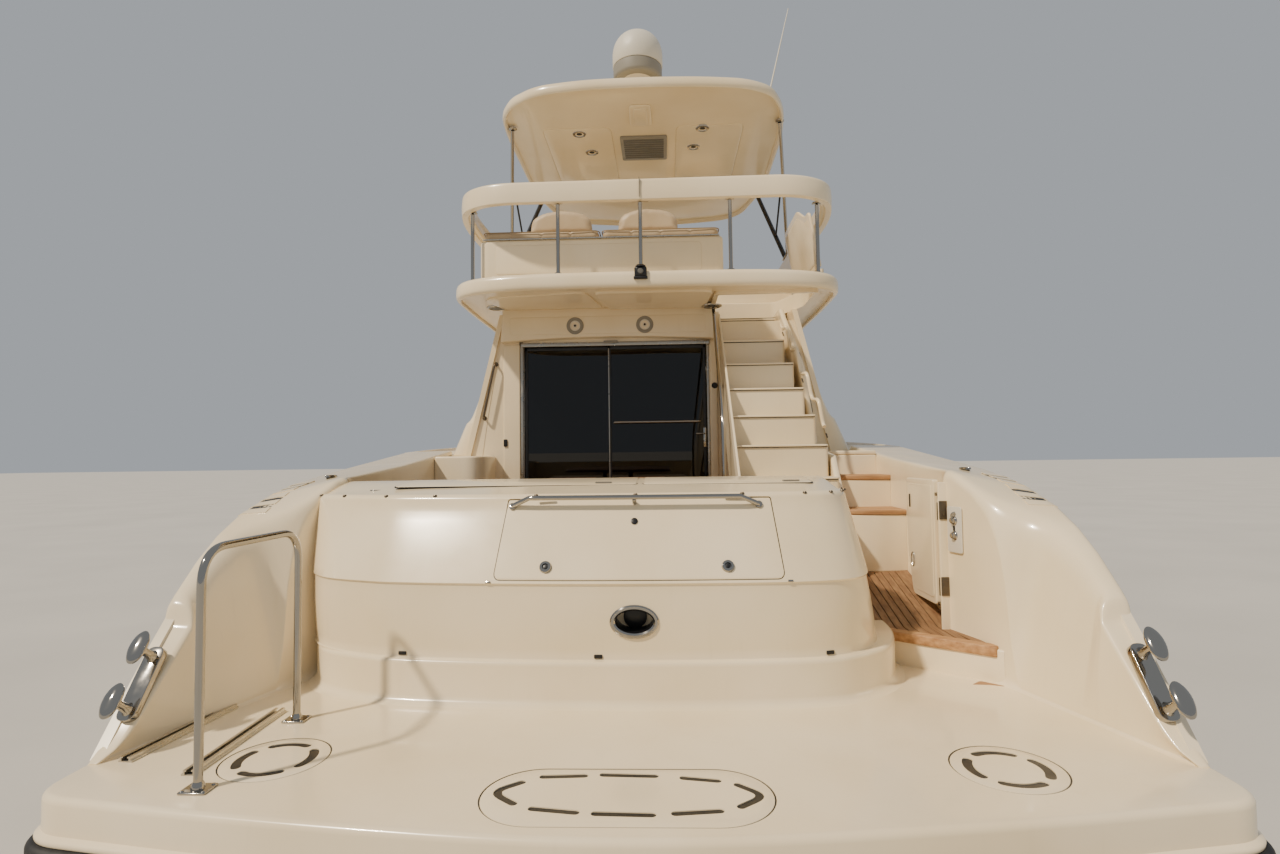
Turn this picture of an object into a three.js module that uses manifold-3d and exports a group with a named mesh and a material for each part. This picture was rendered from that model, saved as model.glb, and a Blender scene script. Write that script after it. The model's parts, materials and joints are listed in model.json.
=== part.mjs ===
// Motor yacht of 16.8 m with a flybridge, afloat: hull and deck, cockpit, saloon, flybridge and running gear.
// Millimetres. +Y is forward, +X is starboard, +Z is up, and z = 0 is the waterline. The origin is amidships.
import * as THREE from "three";
import { mergeVertices } from "three/addons/utils/BufferGeometryUtils.js";
import Module from "manifold-3d";

const wasm = await Module();
wasm.setup();

// Driving dimensions
const length = 16800;
const gap = 0.3; // between two pieces that touch
const aft = (d) => d - length / 2; // a place measured forward from the swim platform's aft edge

// Levels above the waterline
const platformTop = 420;
const platformUnder = 140;
const passageTop = 615;
const soleTop = 830;
const soleThick = 60;
const doorTop = 2810;
const houseTop = 3125;
const flyTop = 3270;
const flyUnder = houseTop + gap;
const railTop = 4065;
const hardtopUnder = 5115;
const hardtopThick = 120;

// Places measured forward from the platform's aft edge
const hullAft = 620;
const transomFront = 2200;
const cockpitHalf = 1950;
const bulkhead = 4390;
const passageEnd = 2890;
const gateHingeX = 1870;
const gateHingeY = 2120;
const gateLength = 545;
const gateLug = 22;
const gateFoot = 780;
const gateHead = 1430;

// Tools for shapes

function clean(geometry) {
  const flat = geometry.index ? geometry.toNonIndexed() : geometry;
  const plain = new THREE.BufferGeometry();
  plain.setAttribute("position", flat.getAttribute("position"));
  const merged = mergeVertices(plain, 1e-3);
  const kept = [];
  const index = merged.index.array;
  for (let i = 0; i < index.length; i += 3) {
    const [a, b, c] = [index[i], index[i + 1], index[i + 2]];
    if (a !== b && b !== c && c !== a) kept.push(a, b, c);
  }
  return { points: merged.attributes.position.array, triangles: kept };
}

function solid(geometry) {
  const { points, triangles } = clean(geometry);
  const make = (triVerts) =>
    new wasm.Manifold(new wasm.Mesh({ numProp: 3, vertProperties: points,
      triVerts: new Uint32Array(triVerts) }));
  const made = make(triangles);
  return made.volume() > 0 ? made : make(triangles.reverse());
}

function box(x0, x1, y0, y1, z0, z1) {
  const shape = new THREE.BoxGeometry(x1 - x0, y1 - y0, z1 - z0);
  return solid(shape.translate((x0 + x1) / 2, (y0 + y1) / 2, (z0 + z1) / 2));
}

// An outline of points [u, v, corner radius]
function outline(points) {
  const shape = new THREE.Shape();
  points.forEach(([u, v, radius = 0], i) => {
    const before = points[(i + points.length - 1) % points.length];
    const after = points[(i + 1) % points.length];
    const toward = (other) => {
      const reach = Math.hypot(other[0] - u, other[1] - v);
      const part = Math.min(radius / reach, 0.5);
      return [u + (other[0] - u) * part, v + (other[1] - v) * part];
    };
    const [start, end] = [toward(before), toward(after)];
    if (i === 0) shape.moveTo(...start);
    else shape.lineTo(...start);
    if (radius > 0) shape.quadraticCurveTo(u, v, ...end);
  });
  shape.closePath();
  return shape;
}

const circle = (radius) => new THREE.Shape().absarc(0, 0, radius, 0, 2 * Math.PI);

function extrude(shape, depth, curveSegments = 5) {
  return new THREE.ExtrudeGeometry(shape, { depth, bevelEnabled: false, curveSegments });
}

// Prisms along X, Y and Z: the outline is in (y, z), (x, z) and (x, y)
const alongX = new THREE.Matrix4().makeBasis(
  new THREE.Vector3(0, 1, 0), new THREE.Vector3(0, 0, 1), new THREE.Vector3(1, 0, 0));
const alongY = new THREE.Matrix4().makeBasis(
  new THREE.Vector3(1, 0, 0), new THREE.Vector3(0, 0, 1), new THREE.Vector3(0, -1, 0));
const shapeOf = (points) => (Array.isArray(points) ? outline(points) : points);
const prismX = (points, x0, x1, n) =>
  solid(extrude(shapeOf(points), x1 - x0, n).applyMatrix4(alongX).translate(x0, 0, 0));
const prismY = (points, y0, y1, n) =>
  solid(extrude(shapeOf(points), y1 - y0, n).applyMatrix4(alongY).translate(0, y1, 0));
const prismZ = (points, z0, z1, n) => solid(extrude(shapeOf(points), z1 - z0, n).translate(0, 0, z0));

// A half outline [x, y, radius] drawn on the starboard side and mirrored to port
function mirrored(points) {
  const port = points.filter(([x]) => x > 0).map(([x, y, r]) => [-x, y, r]).reverse();
  return [...points, ...port];
}

// A solid through rings of points [x, y, z], all with the same number of points. The ends are closed as seen
// along the axis endAxis (0 to 2), or else along the one in which an end is thinnest.
function loft(rings, endAxis) {
  const size = rings[0].length;
  const points = rings.flat();
  const triangles = [];
  for (let r = 0; r + 1 < rings.length; r++)
    for (let i = 0; i < size; i++) {
      const [a, b] = [r * size + i, r * size + ((i + 1) % size)];
      triangles.push(a, b, a + size, b, b + size, a + size);
    }
  const cap = (r, turned) => {
    const ring = rings[r].map((p) => new THREE.Vector3(...p));
    const spread = new THREE.Box3().setFromPoints(ring).getSize(new THREE.Vector3()).toArray();
    const thin = endAxis ?? spread.indexOf(Math.min(...spread));
    const [u, v] = [(thin + 1) % 3, (thin + 2) % 3];
    const flat = ring.map((p) => new THREE.Vector2(p.getComponent(u), p.getComponent(v)));
    const way = THREE.ShapeUtils.isClockWise(flat);
    const faces = THREE.ShapeUtils.triangulateShape(flat, []);
    return { faces: faces.map((f) => f.map((i) => i + r * size)), way, turned };
  };
  const geometry = (list) => {
    const g = new THREE.BufferGeometry();
    g.setAttribute("position", new THREE.Float32BufferAttribute(list.flatMap((i) => points[i]), 3));
    return g;
  };
  // the caps' faces are turned to meet the side faces edge by edge
  const edges = new Set();
  for (let i = 0; i < triangles.length; i += 3)
    for (let k = 0; k < 3; k++) edges.add(triangles[i + k] + "," + triangles[i + ((k + 1) % 3)]);
  for (const r of [0, rings.length - 1]) {
    const { faces } = cap(r);
    const start = r * size;
    const clash = faces.some((f) =>
      f.some((p, k) => {
        const q = f[(k + 1) % 3];
        const next = (p - start + 1) % size === q - start || (q - start + 1) % size === p - start;
        return next && edges.has(p + "," + q);
      }));
    for (const [a, b, c] of faces) triangles.push(...(clash ? [a, c, b] : [a, b, c]));
  }
  return solid(geometry(triangles));
}

// A round tube along points, with bends of one radius
function tube(points, radius, bend = 60, steps = 24, sides = 4) {
  const path = new THREE.CurvePath();
  const at = points.map((p) => new THREE.Vector3(...p));
  let from = at[0];
  for (let i = 1; i + 1 < at.length; i++) {
    const into = at[i].clone().sub(at[i - 1]).normalize();
    const out = at[i + 1].clone().sub(at[i]).normalize();
    const start = at[i].clone().addScaledVector(into, -bend);
    const end = at[i].clone().addScaledVector(out, bend);
    path.add(new THREE.LineCurve3(from, start));
    path.add(new THREE.QuadraticBezierCurve3(start, at[i], end));
    from = end;
  }
  path.add(new THREE.LineCurve3(from, at[at.length - 1]));
  const straight = points.length === 2;
  return solid(new THREE.ExtrudeGeometry(circle(radius), {
    extrudePath: path, steps: straight ? 1 : steps, curveSegments: sides, bevelEnabled: false,
  }));
}

// A turned solid about +Z from a profile [radius, z] that starts and ends on the axis
function turned(profile, sides = 20) {
  const points = profile.map(([r, z]) => new THREE.Vector2(r, z));
  return solid(new THREE.LatheGeometry(points, sides).rotateX(Math.PI / 2));
}

// A cylinder between two points
function rod(from, to, radius, sides = 14) {
  const [a, b] = [new THREE.Vector3(...from), new THREE.Vector3(...to)];
  const shape = new THREE.CylinderGeometry(radius, radius, a.distanceTo(b), sides);
  const turn = new THREE.Quaternion().setFromUnitVectors(
    new THREE.Vector3(0, 1, 0), b.clone().sub(a).normalize());
  return solid(shape.applyQuaternion(turn).translate(...a.add(b).multiplyScalar(0.5).toArray()));
}

function moved(shape, x, y, z) {
  return shape.translate([x, y, z]);
}

const join = (...shapes) => shapes.reduce((a, b) => a.add(b));
const cut = (shape, ...others) => others.reduce((a, b) => a.subtract(b), shape);

// Hull lines. The columns are the place from amidships, then the sheer's half width and height,
// the chine's half width and height, and the keel's height.
const hullLines = [
  [aft(hullAft), 2330, 430, 2080, -40, -520],
  [aft(720), 2338, 530, 2083, -40, -522],
  [aft(850), 2345, 680, 2087, -40, -525],
  [aft(1000), 2351, 840, 2091, -39, -529],
  [aft(1150), 2357, 990, 2094, -38, -532],
  [aft(1330), 2365, 1150, 2098, -36, -537],
  [aft(1500), 2372, 1260, 2101, -34, -541],
  [aft(1700), 2380, 1360, 2104, -32, -546],
  [aft(2000), 2390, 1460, 2109, -28, -554],
  [aft(2300), 2397, 1530, 2114, -24, -563],
  [aft(2700), 2405, 1580, 2120, -20, -575],
  [aft(4400), 2418, 1740, 2140, 0, -630],
  [-1500, 2425, 1850, 2150, 50, -690],
  [1500, 2390, 1950, 2050, 170, -700],
  [4000, 2190, 2060, 1700, 380, -640],
  [5800, 1800, 2160, 1180, 640, -480],
  [7100, 1200, 2250, 610, 920, -130],
  [7850, 640, 2310, 250, 1180, 420],
  [8220, 130, 2345, 60, 1420, 980],
];
const sheerAt = (y) => {
  const i = Math.max(1, hullLines.findIndex((row) => row[0] >= y));
  const [a, b] = [hullLines[i - 1], hullLines[i]];
  const t = (y - a[0]) / (b[0] - a[0]);
  return { half: a[1] + (b[1] - a[1]) * t, top: a[2] + (b[2] - a[2]) * t };
};

const coamingAft = 5250;
// House and flybridge plans: half outlines [x, y], from the aft corner round the front
const houseFoot = [[1850, bulkhead - 30], [1850, 6500], [1780, 8600], [1480, 10100], [800, 10900],
  [0, 11100]];
const houseHead = [[1450, bulkhead - 30], [1450, 6400], [1400, 7900], [1180, 8700], [620, 9080], [0, 9180]];
const coamingFoot = [[1690, coamingAft - 90], [1690, 6500], [1600, 8300], [1250, 9300], [650, 9800],
  [0, 9950]];
const coamingHead = [[1640, coamingAft - 90], [1640, 6450], [1520, 8100], [1130, 9000], [560, 9400],
  [0, 9520]];

const placed = (points, z, inset = 0) => {
  const full = mirrored(points.map(([x, y]) => [x, y]));
  return full.map(([x, y], i) => {
    const before = full[(i + full.length - 1) % full.length];
    const after = full[(i + 1) % full.length];
    const along = new THREE.Vector2(after[0] - before[0], after[1] - before[1]).normalize();
    return [x - along.y * inset, aft(y + along.x * inset), z];
  });
};

// Walls round a plan: the outside less the inside, open aft, above and below
function walls(foot, head, z0, z1, thick, openAft) {
  const rise = (z1 - z0) * 0.02;
  const lean = (points, other, t) => points.map(([x, y], i) =>
    [x + (other[i][0] - x) * t, y + (other[i][1] - y) * t]);
  const inner = loft([placed(lean(foot, head, -0.02), z0 - rise, thick), placed(lean(foot, head, 1.02),
    z1 + rise, thick)]);
  return cut(loft([placed(foot, z0), placed(head, z1)]), inner, openAft);
}

// Inner faces of the wings: half plans of the platform's slot, of the walls' foot and of the walls higher up.
// The walls run in towards the gate and lean outwards over the platform.
const slotPlan = [[2200, 0], [2289, 600], [2090, 1340]];
const wallFoot = [[2289, 0], [2289, 600], [2155, 1090], [2040, 1530], [2016, 1620], [cockpitHalf, 1860],
  [cockpitHalf, 2200]];
const wallHead = [[2330, 0], [2330, 600], [2330, 1100], [2215, 1530], [2110, 1620], [cockpitHalf, 1860],
  [cockpitHalf, 2200]];
const wallHeadZ = 1400;
const betweenWings = () => {
  const ring = (plan, z) => mirrored(plan).map(([x, y]) => [x, aft(y), z]);
  return join(
    loft([ring(wallFoot, platformTop), ring(wallHead, wallHeadZ)]),
    loft([ring(wallHead, wallHeadZ - 1), ring(wallHead, wallHeadZ + 800)]));
};

// Group, materials and nodes

const yacht = new THREE.Group();
const finishes = {
  gelcoat: [0xece5d8, 0.25, 0],
  glass: [0x1b2126, 0.08, 0],
  steel: [0xc9ccce, 0.2, 1],
  teak: [0xa07c56, 0.7, 0],
  fabric: [0xcdb899, 0.9, 0],
  rubber: [0x161616, 0.6, 0],
  darkMetal: [0x2b2d2f, 0.4, 0.6],
  bronze: [0xa8793c, 0.35, 1],
  antifouling: [0x24364a, 0.8, 0],
  wood: [0x6b452a, 0.45, 0],
};
function node(name, shape, finish) {
  const mesh = shape.asOriginal().simplify(0.02).getMesh();
  const geometry = new THREE.BufferGeometry();
  const points = new Float32Array(mesh.numVert * 3);
  for (let i = 0; i < mesh.numVert; i++)
    points.set(mesh.vertProperties.subarray(i * mesh.numProp, i * mesh.numProp + 3), i * 3);
  geometry.setAttribute("position", new THREE.BufferAttribute(points, 3));
  geometry.setIndex(new THREE.BufferAttribute(mesh.triVerts, 1));
  geometry.computeVertexNormals();
  const [color, roughness, metalness] = finishes[finish];
  const made = new THREE.Mesh(geometry, new THREE.MeshStandardMaterial({ color, roughness, metalness }));
  made.name = name;
  yacht.add(made);
}

// Saloon well: the house's plan carried straight down to the saloon sole
const deckAtHouse = 1740;
const well = (grow) => join(
  loft([placed(houseFoot, soleTop - soleThick, -grow), placed(houseFoot, deckAtHouse, -grow)]),
  loft([placed(houseFoot, deckAtHouse - 1, -grow), placed(houseHead, houseTop + 200, -grow)]));

// Running gear
const shaftX = 700;
const shaftRadius = 25;
const shaftBore = 26.2;
const shaftRise = Math.tan((10 * Math.PI) / 180);
const propY = 1300;
const propZ = -750;
const shaftAt = (d) => [d, propZ + (d - propY) * shaftRise];
const rudderY = 900;
const onShaft = (side, d) => [side * shaftX, aft(d), shaftAt(d)[1]];
const sides = [["port", -1], ["starboard", 1]];

const engineHalf = 330;
const engineWide = 760;
const engineAft = 4250;
const engineFront = 5850;
const engineUnder = -240;

function hullSolid(grow = 0) {
  const rings = hullLines.map(([y, half, top, chine, chineZ, keel]) => {
    const side = [
      [chine * 0.96, chineZ - 20], [chine + grow, chineZ],
      [chine + (half - chine) * 0.6 + grow, chineZ + (top - chineZ) * 0.45], [half + grow, top],
    ];
    return [[0, y, keel], ...side.map(([x, z]) => [x, y, z]),
      ...[...side].reverse().map(([x, z]) => [-x, y, z])];
  });
  return loft(rings);
}

function makeHull() {
  let hull = hullSolid();
  const far = 3000;
  hull = cut(hull,
    prismZ(mirrored(slotPlan).map(([x, y]) => [x, aft(y)]), platformUnder, platformTop + 1),
    betweenWings(),
    box(-cockpitHalf, cockpitHalf, aft(transomFront - 1), aft(bulkhead), soleTop - soleThick, far),
    box(1300, cockpitHalf, aft(transomFront - 1), aft(passageEnd + gap), platformTop, far),
    well(gap));
  for (const [, s] of sides) {
    const [x0, x1] = s > 0 ? [engineHalf, engineHalf + engineWide] : [-engineHalf - engineWide, -engineHalf];
    hull = cut(hull, box(x0 - 20, x1 + 20, aft(engineAft - 40), aft(engineFront + 40), engineUnder - 10,
      soleTop));
    hull = join(hull, rod(onShaft(s, 2900), onShaft(s, 3700), 52));
    hull = cut(hull, rod(onShaft(s, 2800), onShaft(s, 3260), shaftBore, 18));
    hull = cut(hull, rod([s * shaftX, aft(rudderY), -700], [s * shaftX, aft(rudderY), -250], 31.2, 18));
    hull = join(hull, makeBracket(s));
  }
  // the gate's lugs: round round the hinge pin, so that the leaf turns past them
  for (const [z0, z1] of [[740, gateFoot - gap], [gateHead + gap, gateHead + 25]])
    hull = join(hull,
      rod([gateHingeX, aft(gateHingeY), z0], [gateHingeX, aft(gateHingeY), z1], gateLug, 16),
      box(gateHingeX, cockpitHalf + 30, aft(gateHingeY) - gateLug, aft(gateHingeY) + gateLug, z0, z1));
  return hull;
}

const deckThick = 45;
function makeDeck() {
  const rings = hullLines.slice(2).map(([y, half, top]) => [
    [half - 1, y, top + gap], [half - 18, y, top + deckThick],
    [-half + 18, y, top + deckThick], [-half + 1, y, top + gap],
  ]);
  const far = 4000;
  const deck = cut(loft(rings),
    betweenWings(),
    box(-cockpitHalf, cockpitHalf, aft(transomFront - 1), aft(bulkhead), 0, far),
    well(gap));
  // the raised coachroof forward of the windscreen
  const foot = [[1250, 11150], [1150, 12600], [620, 14300], [0, 14500]];
  const head = [[1050, 11300], [950, 12500], [480, 13900], [0, 14050]];
  const roof = loft([placed(foot, 2060), placed(head, 2400)]);
  return cut(join(deck, cut(roof, hullSolid().translate([0, 0, gap]))), well(gap));
}

function makePlatform() {
  const plan = [
    [-2080, 1335], [-2280, 605], [-2345, 600, 10], [-2335, 330, 170],
    [-1400, 165, 700], [0, 0, 1200], [1400, 165, 700], [2335, 330, 170], [2345, 600, 10],
    [2280, 605], [2080, 1335],
  ].map(([x, y, r]) => [x, aft(y), r]);
  let slab = prismZ(plan, platformUnder + gap, platformTop, 8);
  for (const lid of lids) slab = cut(slab, lid.well);
  return slab;
}

// Lids in the platform: centre, half length, half width
const lidThick = 24;
const lidTable = [
  ["round_lid_port", -1543, 666, 222, 222],
  ["round_lid_starboard", 1518, 590, 222, 222],
  ["oval_lid", -12, 350, 560, 228],
];
const ovalShape = (x, y, a, b) => {
  const shape = new THREE.Shape();
  shape.moveTo(x + a - b, aft(y) - b);
  shape.absarc(x + a - b, aft(y), b, -Math.PI / 2, Math.PI / 2);
  if (a > b) shape.lineTo(x - a + b, aft(y) + b);
  shape.absarc(x - a + b, aft(y), b, Math.PI / 2, Math.PI * 1.5);
  shape.closePath();
  return shape;
};
const lids = lidTable.map(([name, x, y, a, b]) => ({
  name,
  lid: prismZ(ovalShape(x, y, a - 6, b - 6), platformTop - lidThick, platformTop, 9),
  well: join(
    prismZ(ovalShape(x, y, a, b), platformTop - lidThick - gap, platformTop + 10, 9),
    prismZ(ovalShape(x, y, a - 30, b - 30), platformTop - 200, platformTop, 9)),
}));

// Rubber strake round the platform's aft edge
function makeFender() {
  const edge = (grow) => [
    [-2345 - grow, 600], [-2340 - grow, 320 - grow, 170], [-1400, 155 - grow, 700], [0, -5 - grow, 1200],
    [1400, 155 - grow, 700], [2340 + grow, 320 - grow, 170], [2345 + grow, 600],
  ].map(([x, y, r]) => [x, aft(y), r]);
  return cut(prismZ(edge(45), 170, 250, 8), prismZ(edge(gap), 100, 300, 8), box(-3000, 3000, aft(590),
    aft(700), 0, 400));
}

// Transom moulding. Its face leans forward from a crease up to the crown, and its starboard end turns forward
// beside the passage. The columns are places across and forward for the plinth, the panel's foot, the crease,
// the crown and the back.
const creaseY = 1300;
const creaseZ = platformTop + 620;
const crownY = 1520;
const crownZ = platformTop + 1075;
const lean = Math.atan2(crownY - creaseY, crownZ - creaseZ);
const transomPlan = [
  [[-1949, 1850], [-1949, 1865], [-1949, 1870], [-1949, 1920], [-1949]],
  [[-1760, 1545], [-1760, 1570], [-1760, 1560], [-1760, 1740], [-1760]],
  [[-1280, 1360], [-1285, 1390], [-1290, 1390], [-1290, 1610], [-1290]],
  [[-780, 1305], [-780, 1340], [-780, 1330], [-780, 1550], [-780]],
  [[0, 1275], [0, 1310], [0, creaseY], [0, crownY], [0]],
  [[720, 1300], [720, 1335], [720, 1310], [720, 1525], [720]],
  [[1030, 1350], [1015, 1390], [1000, 1355], [950, 1550], [930]],
  [[1270, 1500], [1220, 1520], [1190, 1480], [1110, 1630], [1000]],
  [[1430, 1700], [1350, 1730], [1290, 1720], [1205, 1800], [1060]],
  [[1490, 1900], [1380, 1950], [1310, 1950], [1230, 1970], [1110]],
  [[1510, 2170], [1395, 2175], [1315, 2175], [1240, 2175], [1140]],
];
const transomBack = transomFront - 10;
function makeTransom() {
  const rings = transomPlan.map(([plinth, foot, crease, crown, [backX]]) => [
    [plinth[0], aft(plinth[1]), platformTop + gap], [plinth[0], aft(plinth[1]), platformTop + 222],
    [foot[0], aft(foot[1]), platformTop + 236], [crease[0], aft(crease[1]), creaseZ], [crown[0],
      aft(crown[1]), crownZ],
    [crown[0] + (backX - crown[0]) * 0.12, aft(crown[1] + (transomBack - crown[1]) * 0.12), crownZ + 38],
    [backX, aft(transomBack), crownZ + 75], [backX, aft(transomBack), platformTop + gap],
  ]);
  const body = cut(loft(rings), hatchSolid(6, -45, 60), hatchSolid(-45, -330, 60));
  return join(body, ...knuckleAt.flatMap((u) => [-70, 50].map((off) => hatchPlaced(join(
    rod([u + off + (off < 0 ? -gap : gap), knuckleV, knuckleW], [u + off + 20, knuckleV, knuckleW], 7, 10),
    box(u + off + (off < 0 ? 0 : gap), u + off + 20 - (off < 0 ? gap : 0), knuckleV, knuckleV + 24, -45,
      knuckleW + 4))))));
}
// The hatch's hinge: two knuckles along its top edge, between lugs of the moulding
const knuckleAt = [-520, 520];
const knuckleV = 464;
const knuckleW = 8;
const hatchFoot = 765;
const hatchHead = 725;
const hatchTall = 455;
// the hatch's own plane: u across, v up the leaning face from 20 mm above the crease, w out of it
function hatchPlaced(shape) {
  const turn = new THREE.Matrix4().makeBasis(
    new THREE.Vector3(1, 0, 0),
    new THREE.Vector3(0, Math.sin(lean), Math.cos(lean)),
    new THREE.Vector3(0, -Math.cos(lean), Math.sin(lean)));
  const start = new THREE.Vector3(0, aft(creaseY), creaseZ)
    .add(new THREE.Vector3(0, Math.sin(lean), Math.cos(lean)).multiplyScalar(22));
  return shape.transform(turn.setPosition(start).toArray());
}
// a solid under the hatch's outline, between two depths below the transom's curved face
function hatchSolid(grow, low, high) {
  const rings = [-1, -0.5, 0, 0.5, 1].map((part) => {
    const inward = (part < 0 ? 30 : 12) * part * part; // how far the face falls back at its ends
    const [foot, head] = [part * (hatchFoot + grow), part * (hatchHead + grow)];
    return [[foot, -grow, low - inward], [head, hatchTall + grow, low - inward],
      [head, hatchTall + grow, high - inward], [foot, -grow, high - inward]];
  });
  return hatchPlaced(loft(rings, 0));
}
function makeHatch() {
  const panel = hatchSolid(0, -36, -4);
  const handle = hatchPlaced(tube([[-660, 395, -30], [-660, 395, 55], [660, 395, 55], [660, 395, -20]], 13,
    30, 30));
  const knuckles = knuckleAt.map((u) => hatchPlaced(join(
    rod([u - 50, knuckleV, knuckleW], [u + 50, knuckleV, knuckleW], 7, 10),
    box(u - 50, u + 50, 430, hatchTall, -22, 0),
    box(u - 50, u + 50, 430, knuckleV, -1, knuckleW - 2))));
  return join(panel, handle, ...knuckles);
}

const bittsX = 2290;
const bittsY = 950;
// Bitts on the quarters: two posts on a foot that lies on the slope of the wing
function makeBitts(s) {
  const slope = Math.atan2(160, 150); // of the wing's top between 850 and 1000 mm
  const foot = prismZ([[-42, -165, 40], [42, -165, 40], [42, 165, 40], [-42, 165, 40]], gap, 14);
  const posts = [-112, 112].map((v) => join(
    moved(turned([[0, 10], [22, 10], [22, 110], [0, 110]], 14), 0, v, 0),
    moved(turned([[0, 96], [46, 96], [46, 112], [30, 126], [0, 132]], 16), 0, v, 0)));
  const place = new THREE.Matrix4().makeRotationX(slope).setPosition(s * bittsX, aft(bittsY),
    786.7 + deckThick);
  return join(foot, ...posts).transform(place.toArray());
}

const steelRail = 17;
function makeGrabRail() {
  const x = -1690;
  const [y0, y1] = [aft(381), aft(1105)];
  const foot = (y) => box(x - 55, x + 55, y - 55, y + 55, platformTop + gap, platformTop + 10);
  const hoop = tube([[x, y0, platformTop + 4], [x, y0, 1340], [x, y1, 1340], [x, y1, platformTop + 4]],
    steelRail, 110, 30, 5);
  return join(foot(y0), foot(y1), hoop);
}

// Gate: rests open, forward along the passage. Two straps carry its leaf on the hinge pin, and its free
// edge follows the transom's end when it is shut.
function makeGate() {
  const leafStart = gateHingeY + gateLug + 12;
  const leaf = prismX([[aft(leafStart), 745, 30], [aft(gateHingeY + gateLength - 100), 745, 40],
    [aft(gateHingeY + gateLength - 25), 1040, 60], [aft(gateHingeY + gateLength - 10), 1535, 40],
    [aft(leafStart), 1535, 20]], gateHingeX - 20, gateHingeX + 20);
  const straps = [gateFoot + 40, gateHead - 140].map((z) =>
    box(gateHingeX - 8, gateHingeX + 8, aft(gateHingeY), aft(leafStart + 5), z, z + 100));
  const pin = rod([gateHingeX, aft(gateHingeY), gateFoot], [gateHingeX, aft(gateHingeY), gateHead], 14);
  return join(leaf, pin, ...straps);
}

function makePassage() {
  const plan = [[1302, passageEnd], [1302, transomFront - 2], [1530, transomFront - 2], [1530, 2035],
    [2012, 1630],
    [cockpitHalf - gap, 1861], [cockpitHalf - gap, passageEnd]];
  const low = prismZ(plan.map(([x, y, r]) => [x, aft(y), r]), platformTop + gap, passageTop);
  return low;
}

function makeSole() {
  const [y0, y1] = [transomFront + gap, bulkhead - 60];
  const plate = box(-cockpitHalf + gap, cockpitHalf - gap, aft(y0), aft(y1), soleTop - soleThick + gap,
    soleTop);
  return cut(plate, box(1300, cockpitHalf + 10, aft(0), aft(passageEnd + gap), 0, 2000));
}

// Steps from the cockpit up to the starboard side deck: forward place and top
function makeSideSteps() {
  const points = [[2900, soleTop + gap], [2900, 1290], [3240, 1290], [3240, 1540], [3600, 1540],
    [3600, 1740], [bulkhead - gap, 1740], [bulkhead - gap, soleTop + gap]];
  return prismX(points.map(([y, z]) => [aft(y), z]), 1500, cockpitHalf - gap);
}

const benchFront = 2760;
function makeBench() {
  return box(-1500, 690, aft(transomFront - 9), aft(benchFront), soleTop + gap, 1230);
}
const makeBenchCushion = () => box(-1480, 670, aft(transomFront), aft(benchFront - 10), 1230 + gap, 1330);
function makeTable() {
  const [x, y] = [-350, aft(3350)];
  const top = prismZ([[x - 600, y - 330, 80], [x + 600, y - 330, 80], [x + 600, y + 330, 80],
    [x - 600, y + 330, 80]], 1500, 1535);
  return join(top, rod([x, y, 1501], [x, y, 840], 45), rod([x, y, soleTop + gap], [x, y, 845], 190));
}

// Bulkhead and glass doors
const doorLeft = -1220;
const doorRight = 570;
function makeBulkhead() {
  const [y0, y1] = [aft(bulkhead), aft(bulkhead + 60)];
  const half = (z) => 1850 - ((z - deckAtHouse) / (houseTop - deckAtHouse)) * 400 - 1;
  const outer = prismY([[-1849, soleTop - soleThick + 1], [1849, soleTop - soleThick + 1],
    [1849, deckAtHouse], [half(houseTop), houseTop - 1],
    [-half(houseTop), houseTop - 1], [-1849, deckAtHouse]], y0, y1);
  const fascia = prismY([[-1430, 2840, 60], [620, 2840, 60], [620, houseTop - 1], [-1380, houseTop - 1]],
    y0 - 120, y0 + 1);
  const stairway = prismX([[aft(4300), 2380], [aft(4460), 2480], [aft(4460), 3300], [aft(4200), 3300]],
    stair.x0 - 6, 1500);
  // the block in the cockpit's port corner, level with the side deck
  const cornerBlock = join(
    box(-cockpitHalf + gap, -1500, aft(3880), y0 - gap, soleTop + gap, 1740), box(-1848, -1500, y0 - 1,
      y0 + 1, soleTop + gap, 1740));
  return cut(join(outer, fascia, cornerBlock), stairway, box(doorLeft, doorRight, y0 - 5, y1 + 5,
    soleTop + 30, doorTop));
}
const doorPlane = bulkhead - 45;
const makeFixedPanel = () => box(doorLeft + gap, -300, aft(bulkhead + 22), aft(bulkhead + 40),
  soleTop + 30 + gap, doorTop - gap);
function makeSlidingPanel() {
  const panel = box(-340, doorRight - 10, aft(bulkhead - 8), aft(bulkhead + 12), soleTop + 38, doorTop - 12);
  const lever = box(440, 500, aft(bulkhead - 45), aft(bulkhead - 7), 1850, 2010);
  const rollers = [-280, 480].map((x) => box(x, x + 60, aft(bulkhead - 6), aft(bulkhead + 10),
    soleTop + 30 + gap, soleTop + 50));
  return join(panel, lever, ...rollers);
}

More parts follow.
